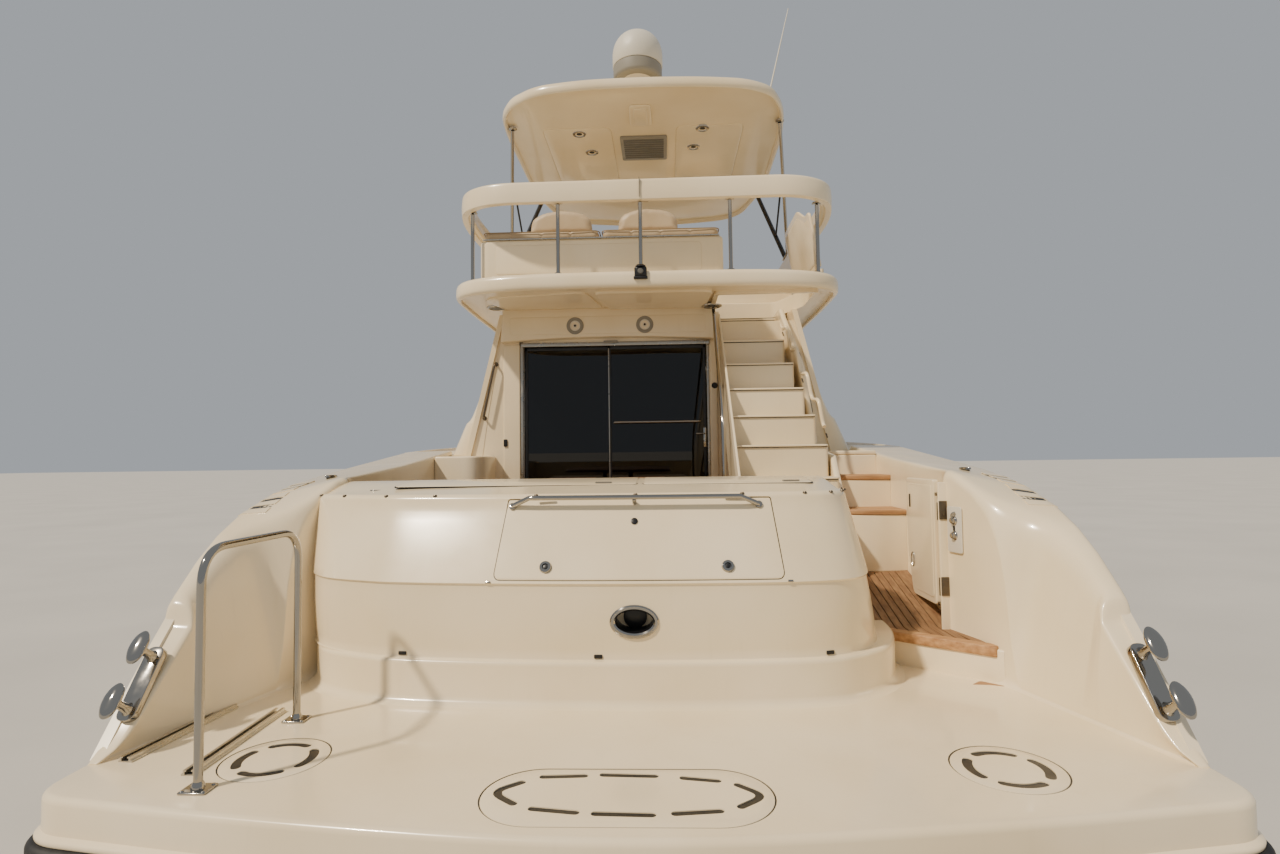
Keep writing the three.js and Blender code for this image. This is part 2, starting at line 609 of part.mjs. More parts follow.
// Stairs to the flybridge. Their outboard side leans in with the house, and a trunk closes them off from
// the saloon.
const stair = { going: 246, rise: 251, firstY: 2435, firstZ: soleTop + 207, x0: 705, x1: 1460, count: 9 };
function makeStairs() {
  const points = [[stair.firstY, soleTop + gap]];
  for (let i = 0; i < stair.count; i++) {
    const y = stair.firstY + i * stair.going;
    const z = stair.firstZ + i * stair.rise;
    points.push([y, z], [y + stair.going, z]);
  }
  const endY = stair.firstY + stair.count * stair.going;
  points.push([endY, stair.firstZ + (stair.count - 1) * stair.rise - 180], [stair.firstY + 900,
    soleTop + gap]);
  const body = prismX(points.map(([y, z]) => [aft(y), z]), stair.x0, stair.x1);
  const trunk = cut(
    box(stair.x0 - 15, stair.x1, aft(bulkhead + 62), aft(endY + 50), 2560, 3120),
    box(stair.x0, stair.x1 - 180, aft(bulkhead), aft(endY), 2900, 4000));
  const side = [[1475, 0], [3000, 0], [3000, 3400], [1235, 3400], [1475, 1800]];
  return cut(join(body, trunk), prismY(side, aft(2000), aft(5000)));
}
function makeStairRail() {
  const x = 618;
  const rail = tube([[x, aft(3050), soleTop + gap], [x, aft(3050), 2000], [x, aft(4180), 3200]], steelRail,
    90, 24, 5);
  return cut(rail, box(x - 50, x + 50, aft(3000), aft(4400), houseTop, 3400));
}

// House
function makeHouse() {
  const body = walls(houseFoot, houseHead, 1500, houseTop, 60, box(-3000, 3000, aft(0), aft(bulkhead + 61),
    0, 5000));
  return cut(body, sideWindow(0), frontWindow(0));
}
const sideWindow = (shrink) => prismX([
  [aft(4900 + shrink), 2080 + shrink, 60], [aft(8300 - shrink), 2230 + shrink, 200], [aft(7500 - shrink),
    2880 - shrink, 80], [aft(4700 + shrink), 2880 - shrink, 60],
], -2500, 2500);
const frontWindow = (shrink) => prismY([
  [-1300 + shrink, 2290 + shrink, 60], [1300 - shrink, 2290 + shrink, 60], [980 - shrink, 2960 - shrink,
    60], [-980 + shrink, 2960 - shrink, 60],
], aft(8650), aft(12000));
function glassLayer() {
  const at = (inset) => {
    const head = placed(houseHead, houseTop, inset);
    return loft([placed(houseFoot, 1500, inset), head]);
  };
  return cut(at(12), at(28));
}
const makeSideGlass = (s) => glassLayer().intersect(sideWindow(1)).intersect(s < 0 ? box(-3000, -500,
  aft(0), aft(12000), 0, 4000) : box(500, 3000, aft(0), aft(12000), 0, 4000));
const makeFrontGlass = () => glassLayer().intersect(frontWindow(1));

// Saloon
function makeSaloonSole() {
  const plate = loft([placed(houseFoot, soleTop - soleThick + gap, 1), placed(houseFoot, soleTop, 1)]);
  return cut(plate, box(-3000, 3000, aft(0), aft(bulkhead + 61), 0, 2000));
}
const makeSofa = () => join(
  box(-1660, -1010, aft(4700), aft(7400), soleTop + gap, 1250), box(-1690, -1520, aft(4700), aft(7400),
    soleTop + gap, 1650));
const makeLowerHelm = () => join(wheelBoss(...lowerWheelAt),
  prismX([[aft(8300), soleTop + gap], [aft(8300), 1850, 60], [aft(8750), 2050, 60], [aft(9100), 2050],
  [aft(9100), soleTop + gap]], 250, 1380));

// A steering wheel about an axis that leans back from the helm
function makeWheel(radius) {
  const ring = solid(new THREE.TorusGeometry(radius, 16, 8, 24));
  const hub = turned([[0, -60], [38, -60], [38, 12], [0, 12]], 12);
  const spokes = [0, 1, 2].map((i) => {
    const a = (i * 2 * Math.PI) / 3 + Math.PI / 2;
    return rod([0, 0, 0], [radius * Math.cos(a), radius * Math.sin(a), 0], 11, 8);
  });
  return join(ring, hub, ...spokes);
}
const wheelTilt = (65 * Math.PI) / 180;
// local +Z of the wheel points aft and up
function wheelPlaced(shape, x, y, z) {
  const turn = new THREE.Matrix4().makeRotationX(wheelTilt).setPosition(x, y, z);
  return shape.transform(turn.toArray());
}
// the boss that carries a wheel, out of the face of its helm
function wheelBoss(x, y, z) {
  return wheelPlaced(rod([0, 0, -60 - gap], [0, 0, -260], 42), x, y, z);
}
const lowerWheelAt = [870, aft(8215), 1820];
const upperWheelAt = [-500, aft(7830), 4040];

// Flybridge
const lidOpen = (80 * Math.PI) / 180;
const lidHinge = [1545, 3315];
const stairOpening = () => prismZ(
  [[640, 3720], [1490, 3720], [1490, 4250], [1300, 4760], [640, 4760]].map(([x, y]) => [x, aft(y)]), 3000,
    3500);
function makeFlyDeck() {
  const plan = [[0, 3365, 900], [1250, 3400, 500], [1715, 3640, 260], [1745, 4400, 300], [1745, 6500, 300],
    [1650, 8600, 600],
    [1250, 9750, 500], [650, 10120, 500], [0, 10200, 600]];
  const slab = prismZ(mirrored(plan).map(([x, y, r]) => [x, aft(y), r]), flyUnder, flyTop, 5);
  const lug = (d) => box(lidHinge[0] - 16, lidHinge[0] + 16, aft(d), aft(d + 15), flyTop - 5,
    lidHinge[1] + 16);
  return join(cut(slab, stairOpening()), lug(3690 - gap), lug(4785 + gap));
}
function makeFlyCoaming() {
  return walls(coamingFoot, coamingHead, flyTop + gap, 4000, 80, box(-3000, 3000, aft(5000),
    aft(coamingAft), 0, 5000));
}
function makeFlyScreen() {
  const lean = (t) => coamingHead.map(([x, y], i) => [x + (coamingHead[i][0] - coamingFoot[i][0]) * t,
    y + (coamingHead[i][1] - coamingFoot[i][1]) * t]);
  const at = (inset) => loft([placed(lean(0), 4000 + gap, inset), placed(lean(0.45), 4330, inset)]);
  return cut(at(30), loft([placed(lean(-0.02), 3990, 44), placed(lean(0.47), 4345, 44)]), box(-3000, 3000,
    aft(5000), aft(7900), 0, 5000));
}

// Aft rail: a thick moulded ring on five stanchions
const stanchionsX = [-1494, -732, 0, 732, 1494];
function makeAftRail() {
  const plan = (g) => mirrored([[0, 3385 + g, 700], [1050, 3410 + g, 500], [1560 - g, 3620 + g, 300],
    [1700 - g, 4200, 300], [1700 - g, 5249 + g * 3]])
    .map(([x, y, r]) => [x, aft(y), r]);
  const ring = cut(prismZ(plan(0), railTop - 170, railTop, 6), prismZ(plan(120), 3000, 5000, 6));
  const posts = stanchionsX.map((x) => {
    const y = aft(3450 + Math.abs(x) ** 3 * 6.5e-8);
    return rod([x, y, flyTop + gap], [x, y, railTop - 160], 19, 12);
  });
  return join(ring, ...posts);
}

const makeSettee = () => join(
  box(-1430, 600, aft(3660), aft(4320), flyTop + gap, 3640),
  box(-1430, 600, aft(3660), aft(3760), flyTop + gap, 3700));
const makeSetteeCushion = () => box(-1420, 590, aft(3765), aft(4310), 3640 + gap, 3740);
const makeConsole = () => join(wheelBoss(...upperWheelAt),
  prismX([[aft(7900), flyTop + gap], [aft(7850), 3900, 60], [aft(8150), 4180, 80], [aft(8450), 4180],
  [aft(8450), flyTop + gap]], -1050, 250));
const makeHelmSeat = () => join(
  box(-1150, -150, aft(6750), aft(7250), flyTop + gap, 3760),
  box(-1150, -150, aft(6650), aft(6780), 3650, 4250));

// Stairwell lid: stands open, hinged on its outboard edge
function makeStairLid() {
  const [x, z] = lidHinge;
  const plan = [[-40, 3700], [-40, 4790], [-690, 4790], [-690, 4080], [-545, 3870], [-545, 3700]];
  const leaf = prismZ(plan.map(([a, b]) => [a, aft(b)]), -13, 13);
  const pin = rod([0, aft(3705), 0], [0, aft(4785), 0], 15, 10);
  const arm = box(-60, 0, aft(3760), aft(4700), -9, 9);
  const turn = new THREE.Matrix4().makeRotationY(lidOpen).setPosition(x, 0, z);
  return join(leaf, pin, arm).transform(turn.toArray());
}

function makeHardtop() {
  const plan = mirrored([[0, 3830, 900], [1100, 3900, 400], [1440, 4200, 300], [1480, 6400, 400],
    [1250, 7500, 400], [0, 7750, 900]]);
  return prismZ(plan.map(([x, y, r]) => [x, aft(y), r]), hardtopUnder, hardtopUnder + hardtopThick, 5);
}
// Hardtop struts: two slender legs on each side, from one foot on the coaming
function makeStrut(s) {
  const [top, foot] = [hardtopUnder - gap, 4000 + gap];
  const leg = (footY, topY) => {
    const along = (z) => [s * (1600 - 0.2 * (z - foot)),
      aft(footY + ((topY - footY) * (z - foot)) / (top - foot)), z];
    return rod(along(foot - 60), along(top + 60), 26, 12);
  };
  const plate = box(s * 1600 - 38, s * 1600 + 38, aft(5530), aft(5770), foot, foot + 14);
  return cut(join(leg(5600, 4640), leg(5700, 6500), plate),
    box(-2000, 2000, aft(4000), aft(7000), 3000, foot), box(-2000, 2000, aft(4000), aft(7000), top, 6000));
}
function makeDome() {
  const base = hardtopUnder + hardtopThick + gap;
  const [x, y] = [-70, aft(4630)];
  const pedestal = turned([[0, 0], [210, 0], [150, 60], [150, 350], [0, 350]], 20);
  const dome = turned([[0, 345], [235, 345], [262, 380], [262, 560], [235, 700], [160, 800], [70, 845],
    [0, 852]], 24);
  return moved(join(pedestal, dome), x, y, base);
}
function makeWhip() {
  const base = hardtopUnder + hardtopThick + gap;
  return join(rod([1240, aft(4900), base], [1240, aft(4900), base + 90], 32),
    rod([1240, aft(4900), base + 40], [1540, aft(4900), base + 1250], 9, 8));
}

// Foredeck
const onDeck = (shape) => cut(shape, deckSolid.translate([0, 0, gap]));
function makeBowRail() {
  const top = (y) => sheerAt(y).top;
  const line = [-1200, 700, 2600, 4300, 5700, 6900, 7700, 8150];
  const side = (s) => line.map((y) => [s * Math.max(sheerAt(y).half - 90, 60), y, top(y) + 620]);
  const ends = (s) => [[s * (sheerAt(-1350).half - 90), -1350, top(-1350) + 15]];
  const points = [...ends(-1), ...side(-1), [0, 8280, top(8150) + 630], ...side(1).reverse(), ...ends(1)];
  const rail = tube(points, 15, 90, 90, 4);
  const posts = line.slice(1, 7).flatMap((y) => [-1, 1].map((s) => {
    const x = s * Math.max(sheerAt(y).half - 90, 60);
    return rod([x, y, top(y) + 15], [x, y, top(y) + 622], 13, 8);
  }));
  return onDeck(join(rail, ...posts));
}
function makeAnchor() {
  const z = sheerAt(8100).top + 45;
  const roller = join(box(-70, 70, 7800, 8290, z + gap, z + 45), box(-70, -50, 8100, 8350, z + gap,
    z + 120), box(50, 70, 8100, 8350, z + gap, z + 120));
  const shank = box(-18, 18, 7700, 8330, z + 44, z + 90);
  const fluke = prismX([[8250, z + 80], [8395, z + 60], [8330, z - 260], [8280, z - 230]], -20, 20);
  return onDeck(cut(join(roller, shank, fluke), box(-300, 300, 7000, 8240, z - 500, z - 5)));
}
function makeForeHatch() {
  return box(-300, 300, aft(12000), aft(12600), 2400 + gap, 2440);
}
const makeSunpad = () => prismZ(mirrored([[0, 11500], [800, 11500, 120], [760, 11950, 120],
  [0, 11950]]).map(([x, y, r]) => [x, aft(y), r]), 2400 + gap, 2480);

// Rub rail at the sheer
function makeRubRail(s) {
  const rows = hullLines.slice(3, 14);
  const rings = rows.map(([y, half, top, chine, chineZ]) => {
    const mid = [chine + (half - chine) * 0.6, chineZ + (top - chineZ) * 0.45];
    const at = (z) => half + ((mid[0] - half) * (top - z)) / (top - mid[1]);
    const [z0, z1] = [top - 190, top - 130];
    return [[s * (at(z0) - 30), y, z0], [s * (at(z0) + 35), y, z0 + 12], [s * (at(z1) + 35), y, z1 - 12],
      [s * (at(z1) - 30), y, z1]];
  });
  return cut(loft(rings), hullSolid(gap));
}

function makeEngine(s) {
  const x0 = s > 0 ? engineHalf : -engineHalf - engineWide;
  return box(x0, x0 + engineWide, aft(engineAft), aft(engineFront), engineUnder - 9.7, 640);
}
function makePropeller(s) {
  const hub = rod(onShaft(s, propY - 110), onShaft(s, propY + 90), 58, 16);
  const shaft = rod(onShaft(s, propY), onShaft(s, 3220), shaftRadius, 12);
  const along = new THREE.Vector3(0, 1, shaftRise).normalize();
  const frame = new THREE.Matrix4().makeBasis(
    new THREE.Vector3(1, 0, 0), along.clone().cross(new THREE.Vector3(1, 0, 0)).normalize(), along);
  // a blade: thin lens sections out along local X, with less twist and thickness towards the tip
  const steps = 6;
  const blade = loft([...Array(steps + 1).keys()].map((i) => {
    const t = i / steps;
    const [radius, twist, thick] = [40 + 265 * t, ((62 - 36 * t) * Math.PI) / 180, 15 - 8 * t];
    const wide = 58 + 60 * Math.sin(Math.PI * t ** 0.8);
    const lens = [[-1, 0], [-0.5, -0.5], [0.5, -0.5], [1, 0], [0.5, 0.5], [-0.5, 0.5]];
    return lens.map(([u, v]) => [wide * u, thick * v]).map(([u, v]) => [
      radius, u * Math.cos(twist) - v * Math.sin(twist), s * (u * Math.sin(twist) + v * Math.cos(twist))]);
  }));
  const blades = [0, 1, 2, 3].map((i) => {
    const spin = new THREE.Matrix4().makeRotationZ((i * Math.PI) / 2);
    const place = frame.clone().multiply(spin).setPosition(...onShaft(s, propY));
    return blade.transform(place.toArray());
  });
  return join(hub, shaft, ...blades);
}
function makeBracket(s) {
  const [y, z] = [propY + 210, shaftAt(propY + 210)[1]];
  const ring = rod(onShaft(s, propY + 150), onShaft(s, propY + 270), 56, 16);
  const leg = box(s * shaftX - 12, s * shaftX + 12, aft(y - 60), aft(y + 60), z + 40, -300);
  return cut(join(ring, leg), rod(onShaft(s, propY + 100), onShaft(s, propY + 330), shaftBore, 18));
}
function makeRudder(s) {
  const x = s * shaftX;
  const blade = prismX([[aft(rudderY - 300), -1020, 60], [aft(rudderY + 150), -1040, 60],
    [aft(rudderY + 190), -440, 30], [aft(rudderY - 260), -440, 30]], x - 22, x + 22);
  return join(blade, rod([x, aft(rudderY), -600], [x, aft(rudderY), -262], 30));
}

const deckSolid = makeDeck();
node("hull", makeHull(), "gelcoat");
node("deck", deckSolid, "gelcoat");
node("swim_platform", makePlatform(), "gelcoat");
for (const lid of lids) node(lid.name, lid.lid, "gelcoat");
node("platform_fender", makeFender(), "rubber");
node("transom_moulding", makeTransom(), "gelcoat");
node("transom_hatch", makeHatch(), "gelcoat");
node("grab_rail", makeGrabRail(), "steel");
node("stern_gate", makeGate(), "gelcoat");
node("passage_floor", makePassage(), "teak");
node("cockpit_sole", makeSole(), "teak");
node("side_steps", makeSideSteps(), "gelcoat");
node("cockpit_bench", makeBench(), "gelcoat");
node("cockpit_bench_cushion", makeBenchCushion(), "fabric");
node("cockpit_table", makeTable(), "teak");
node("aft_bulkhead", makeBulkhead(), "gelcoat");
node("fixed_door_panel", makeFixedPanel(), "glass");
node("sliding_door_panel", makeSlidingPanel(), "glass");
node("stairs", makeStairs(), "gelcoat");
node("stair_handrail", makeStairRail(), "steel");
node("house", makeHouse(), "gelcoat");
node("windscreen", makeFrontGlass(), "glass");
node("saloon_sole", makeSaloonSole(), "wood");
node("saloon_sofa", makeSofa(), "fabric");
node("lower_helm", makeLowerHelm(), "wood");
node("lower_wheel", wheelPlaced(makeWheel(170), ...lowerWheelAt), "darkMetal");
node("flybridge_deck", makeFlyDeck(), "gelcoat");
node("flybridge_coaming", makeFlyCoaming(), "gelcoat");
node("flybridge_screen", makeFlyScreen(), "glass");
node("aft_rail", makeAftRail(), "gelcoat");
node("flybridge_settee", makeSettee(), "gelcoat");
node("settee_cushion", makeSetteeCushion(), "fabric");
node("flybridge_console", makeConsole(), "gelcoat");
node("flybridge_wheel", wheelPlaced(makeWheel(190), ...upperWheelAt), "darkMetal");
node("helm_seat", makeHelmSeat(), "fabric");
node("stairwell_lid", makeStairLid(), "gelcoat");
node("hardtop", makeHardtop(), "gelcoat");
node("radar_dome", makeDome(), "gelcoat");
node("whip_antenna", makeWhip(), "gelcoat");
node("bow_rail", makeBowRail(), "steel");
node("anchor", makeAnchor(), "steel");
node("foredeck_hatch", makeForeHatch(), "glass");
node("sunpad", makeSunpad(), "fabric");
for (const [side, s] of sides) {
  node("bitts_" + side, makeBitts(s), "steel");
  node("side_glass_" + side, makeSideGlass(s), "glass");
  node("hardtop_strut_" + side, makeStrut(s), "darkMetal");
  node("rub_rail_" + side, makeRubRail(s), "steel");
  node("engine_" + side, makeEngine(s), "darkMetal");
  node("propeller_" + side, makePropeller(s), "bronze");
  node("rudder_" + side, makeRudder(s), "bronze");
}

export default yacht;
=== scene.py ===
# Flybridge motor yacht, seen from astern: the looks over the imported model.
# Metres. +Y is forward, +X is starboard, +Z is up, and z = 0 is the waterline.
import bmesh
import bpy
import json
from math import cos, pi, radians, sin, sqrt
from mathutils import Matrix, Vector


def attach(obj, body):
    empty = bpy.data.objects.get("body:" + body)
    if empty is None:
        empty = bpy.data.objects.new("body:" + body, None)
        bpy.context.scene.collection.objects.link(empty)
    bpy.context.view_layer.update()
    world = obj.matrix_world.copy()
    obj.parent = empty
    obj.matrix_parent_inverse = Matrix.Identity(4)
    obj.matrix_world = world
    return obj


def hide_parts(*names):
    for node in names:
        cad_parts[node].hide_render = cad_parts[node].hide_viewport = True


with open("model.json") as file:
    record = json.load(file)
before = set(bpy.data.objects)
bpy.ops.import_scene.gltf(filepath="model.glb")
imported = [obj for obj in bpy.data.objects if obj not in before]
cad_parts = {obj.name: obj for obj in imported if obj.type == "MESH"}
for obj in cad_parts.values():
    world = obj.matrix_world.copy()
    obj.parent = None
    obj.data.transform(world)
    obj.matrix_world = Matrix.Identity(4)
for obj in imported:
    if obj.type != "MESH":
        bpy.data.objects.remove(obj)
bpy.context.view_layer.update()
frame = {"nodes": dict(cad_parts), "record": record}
nodes = frame["nodes"]
print("frame loaded:", len(nodes), "nodes")

# Levels and places that the whole yacht shares
platformTop = 0.42
soleTop = 0.83
deckEdge = 1.74
flyTop = 3.27
railTop = 4.065
hardtopUnder = 5.115


aftEdge = -8.4  # the platform's aft edge, that every distance d forward starts from
bothSides = ((-1, "port"), (1, "starboard"))
capitalSides = ((-1, "Port"), (1, "Starboard"))
alongX, alongY, alongZ = Vector((1, 0, 0)), Vector((0, 1, 0)), Vector((0, 0, 1))


def aft(d):
    return d + aftEdge


def inPlan(rows):
    # rows of (x, d, and perhaps a bend) as rows of (x, y, ...)
    return [(x, aft(d), *bend) for x, d, *bend in rows]


# Colours and materials

def linear(hexColour):
    parts = [int(hexColour[i:i + 2], 16) / 255 for i in (1, 3, 5)]
    return tuple(c / 12.92 if c <= 0.04045 else ((c + 0.055) / 1.055) ** 2.4 for c in parts) + (1.0,)


def turns(count):
    return [2 * pi * k / count for k in range(count)]


def addNode(tree, kind, settings=None, links=None):
    node = tree.nodes.new(kind)
    for key, value in (settings or {}).items():
        if isinstance(key, int) or key in node.inputs:
            node.inputs[key].default_value = value
        else:
            setattr(node, key, value)
    for socket, source in (links or {}).items():
        tree.links.new(source, node.inputs[socket])
    return node


def calc(tree, operation, *values):
    settings, links = {"operation": operation}, {}
    for k, value in enumerate(values):
        (settings if isinstance(value, (int, float)) else links)[k] = value
    return addNode(tree, "ShaderNodeMath", settings, links).outputs[0]


def feed(shader, socket, source):
    shader.id_data.links.new(source, shader.inputs[socket])


def newMaterial(name, colour, roughness, metallic=0.0, coat=0.0):
    material = bpy.data.materials.new(name)
    material.use_nodes = True
    tree = material.node_tree
    shader = tree.nodes["Principled BSDF"]
    shader.inputs["Base Color"].default_value = linear(colour)
    shader.inputs["Roughness"].default_value = roughness
    shader.inputs["Metallic"].default_value = metallic
    shader.inputs["Coat Weight"].default_value = coat
    shader.inputs["Coat Roughness"].default_value = 0.06
    place = addNode(tree, "ShaderNodeTexCoord").outputs["Object"]
    return material, tree, shader, place


def noiseAt(tree, place, size, detail=3.0, stretch=None):
    if stretch:
        place = addNode(tree, "ShaderNodeVectorMath", {"operation": "MULTIPLY", 1: stretch}, {0: place}).outputs[0]
    settings = {"Scale": 1 / size, "Detail": detail}
    return addNode(tree, "ShaderNodeTexNoise", settings, {"Vector": place}).outputs["Fac"]


def blendColours(tree, factor, first, second):
    mix = addNode(tree, "ShaderNodeMix", {"data_type": "RGBA"}, {0: factor})
    for socket, colour in ((6, first), (7, second)):
        if isinstance(colour, str):
            mix.inputs[socket].default_value = linear(colour)
        else:
            tree.links.new(colour, mix.inputs[socket])
    return mix.outputs[2]


def ramp(tree, value, low, high, toLow=0.0, toHigh=1.0):
    settings = {1: low, 2: high, 3: toLow, 4: toHigh, "clamp": True}
    return addNode(tree, "ShaderNodeMapRange", settings, {0: value}).outputs[0]


def clouded(tree, place, size, detail, low, high, light, dark, most=1.0):
    return blendColours(tree, ramp(tree, noiseAt(tree, place, size, detail), low, high, 0.0, most), light, dark)


def bump(tree, shader, height, distance, strength=1.0):
    node = addNode(tree, "ShaderNodeBump", {"Strength": strength, "Distance": distance}, {"Height": height})
    feed(shader, "Normal", node.outputs[0])
    feed(shader, "Coat Normal", node.outputs[0])


def makeGelcoat(name, light, dark):
    # polyester gelcoat, moulded and polished: glossy, with a faint long wave and a bloom of age
    material, tree, shader, place = newMaterial(name, light, 0.24, coat=0.35)
    colour = clouded(tree, place, 0.9, 4, 0.35, 0.75, light, dark)
    streaks = noiseAt(tree, place, 0.05, 2, (1.0, 1.0, 0.08))
    colour = blendColours(tree, ramp(tree, streaks, 0.62, 0.85, 0.0, 0.09), colour, "#B9A88A")
    feed(shader, "Base Color", colour)
    feed(shader, "Roughness", ramp(tree, noiseAt(tree, place, 0.25, 5), 0.3, 0.7, 0.19, 0.27))
    bump(tree, shader, noiseAt(tree, place, 0.35, 1), 0.002, 0.2)
    return material


def makeNonSkid():
    # gelcoat with grit moulded in: the same ivory, dull, with a fine sandpaper grain of 3 mm
    material, tree, shader, place = newMaterial("gritGelcoat", "#E2D3B4", 0.55)
    feed(shader, "Base Color", clouded(tree, place, 0.4, 6, 0.4, 0.75, "#E4D6B8", "#CDBB98"))
    bump(tree, shader, noiseAt(tree, place, 0.003, 2), 0.0012, 0.7)
    return material


def makeHullGelcoat():
    # the topsides' gelcoat over a boot stripe and dull antifouling paint, told apart by height
    material, tree, shader, place = newMaterial("hullGelcoat", "#F0E2C6", 0.22, coat=0.35)
    height = addNode(tree, "ShaderNodeSeparateXYZ", None, {0: place}).outputs[2]
    white = clouded(tree, place, 0.9, 4, 0.35, 0.75, "#F2E4C8", "#E4D3B2")
    patches = noiseAt(tree, place, 0.12, 4, (1.0, 1.0, 0.15))
    stain = calc(tree, "MULTIPLY", ramp(tree, height, 0.05, 0.5, 0.5, 0.0), patches)
    white = blendColours(tree, stain, white, "#A08A5E")
    above = calc(tree, "GREATER_THAN", height, 0.11)
    paint = calc(tree, "GREATER_THAN", height, 0.03)
    under = blendColours(tree, paint, "#1F2A3A", "#16233F")
    feed(shader, "Base Color", blendColours(tree, above, under, white))
    feed(shader, "Roughness", ramp(tree, above, 0, 1, 0.7, 0.22))
    bump(tree, shader, noiseAt(tree, place, 0.5, 1), 0.004, 0.2)
    return material


def makeTeak(name, along, plank=0.05, caulk=0.005, tones=("#765539", "#A17E58")):
    # oiled teak planks, weathered to a warm grey brown, with black caulking between them
    material, tree, shader, place = newMaterial(name, "#8C6540", 0.62)
    across = addNode(tree, "ShaderNodeSeparateXYZ", None, {0: place}).outputs[0 if along == "Y" else 1]
    row = calc(tree, "DIVIDE", across, plank)
    part = calc(tree, "FRACT", row)
    whole = calc(tree, "FLOOR", row)
    stretch = (40.0, 1.6, 40.0) if along == "Y" else (1.6, 40.0, 40.0)
    grain = noiseAt(tree, place, 1.0, 5, stretch)
    each = addNode(tree, "ShaderNodeTexWhiteNoise", {"noise_dimensions": "1D"}, {"W": whole}).outputs["Value"]
    wood = blendColours(tree, ramp(tree, grain, 0.3, 0.7), *tones)
    wood = blendColours(tree, ramp(tree, each, 0, 1, 0, 0.45), wood, "#6B4A30")
    seam = calc(tree, "LESS_THAN", part, caulk / plank)
    feed(shader, "Base Color", blendColours(tree, seam, wood, "#15120F"))
    height = calc(tree, "SUBTRACT", grain, seam)
    bump(tree, shader, height, 0.0015, 0.5)
    return material


def makeSteel(name, colour, rough, grainSize=0.0):
    # stainless or anodised metal: polished tube mirrors its surroundings, rolled plate shows fine grain
    material, tree, shader, place = newMaterial(name, colour, rough, metallic=1.0)
    smear = noiseAt(tree, place, 0.06, 4)
    feed(shader, "Roughness", ramp(tree, smear, 0.3, 0.75, rough * 0.7, rough * 1.6))
    if grainSize:
        bump(tree, shader, noiseAt(tree, place, grainSize, 2, (1.0, 0.05, 1.0)), 0.0003, 0.4)
    return material


def makeRubber():
    # moulded synthetic rubber: near black, dull, chalked by the sun
    material, tree, shader, place = newMaterial("blackRubber", "#17171A", 0.6)
    feed(shader, "Base Color", clouded(tree, place, 0.05, 5, 0.45, 0.8, "#141416", "#3A3936", 0.5))
    bump(tree, shader, noiseAt(tree, place, 0.002, 2), 0.0003, 0.4)
    return material


def makeGlass(name, colour):
    # toughened glass or acrylic tinted through: dark, mirror smooth, with what is behind it faintly seen
    material, tree, shader, place = newMaterial(name, colour, 0.015)
    shader.inputs["Transmission Weight"].default_value = 0.85
    shader.inputs["IOR"].default_value = 1.5
    shader.inputs["Specular IOR Level"].default_value = 0.3
    feed(shader, "Roughness", ramp(tree, noiseAt(tree, place, 0.3, 5), 0.5, 0.9, 0.01, 0.06))
    return material


def makeVinyl():
    # marine vinyl over foam: sand coloured, fine leather grain, soft sheen along the crowns
    material, tree, shader, place = newMaterial("sandVinyl", "#C6AF8E", 0.48)
    feed(shader, "Base Color", clouded(tree, place, 0.3, 4, 0.3, 0.75, "#CDB897", "#B59C78"))
    shader.inputs["Sheen Weight"].default_value = 0.15
    cells = addNode(tree, "ShaderNodeTexVoronoi", {"Scale": 1 / 0.004}, {"Vector": place}).outputs["Distance"]
    bump(tree, shader, cells, 0.0005, 0.35)
    return material


def makePlastic(name, colour, rough):
    # moulded ABS or acrylic: even colour, fine satin grain
    material, tree, shader, place = newMaterial(name, colour, rough)
    feed(shader, "Roughness", ramp(tree, noiseAt(tree, place, 0.1, 4), 0.3, 0.7, rough * 0.8, rough * 1.3))
    bump(tree, shader, noiseAt(tree, place, 0.0015, 2), 0.0002, 0.3)
    return material


def makeBronze():
    # cast manganese bronze: polished blades, with a brown bloom from sea water
    material, tree, shader, place = newMaterial("castBronze", "#B08A4A", 0.3, metallic=1.0)
    bloom = ramp(tree, noiseAt(tree, place, 0.05, 6), 0.4, 0.7)
    feed(shader, "Base Color", blendColours(tree, bloom, "#B8924F", "#6E5632"))
    feed(shader, "Roughness", ramp(tree, bloom, 0, 1, 0.22, 0.6))
    return material


def makeWood():
    # varnished cherry veneer: red brown, long grain under a satin lacquer
    material, tree, shader, place = newMaterial("cherryVeneer", "#6E4227", 0.35, coat=0.2)
    grain = noiseAt(tree, place, 0.02, 6, (1.0, 0.06, 1.0))
    feed(shader, "Base Color", blendColours(tree, ramp(tree, grain, 0.3, 0.7), "#5D3520", "#8A5633"))
    return material


gelcoat = makeGelcoat("polishedGelcoat", "#F6E5C3", "#EAD6AE")
hullGelcoat = makeHullGelcoat()
nonSkid = makeNonSkid()
teak = makeTeak("teakPlanks", "Y")
teakAcross = makeTeak("teakPlanksAcross", "X")
steel = makeSteel("polishedSteel", "#A5A19A", 0.09)
aluminium = makeSteel("anodisedAluminium", "#C9C4B8", 0.3, 0.002)
rubber = makeRubber()
glass = makeGlass("tintedGlass", "#131516")
vinyl = makeVinyl()
whitePlastic = makePlastic("domePlastic", "#DAD3C2", 0.4)
greyPlastic = makePlastic("greyPlastic", "#8D887C", 0.45)
blackPlastic = makePlastic("blackPlastic", "#121214", 0.35)
enginePaint = makePlastic("engineEnamel", "#8A9094", 0.4)
bronze = makeBronze()
cherry = makeWood()
teakEdge = makeTeak("teakStrips", "Y", 4.0, 0.0)
teakNosing = makeTeak("teakNosing", "X", 4.0, 0.0, ("#9A6E45", "#C59A6B"))
# dark bronze for the gate hinges and studs; on the corner handles its dark colour is a painted reflection
bronzeAndPaintedReflection = makeSteel("bronzeAndPaintedReflection", "#6E6456", 0.35)
bareLaminate = makePlastic("bareLaminate", "#A57C55", 0.7)
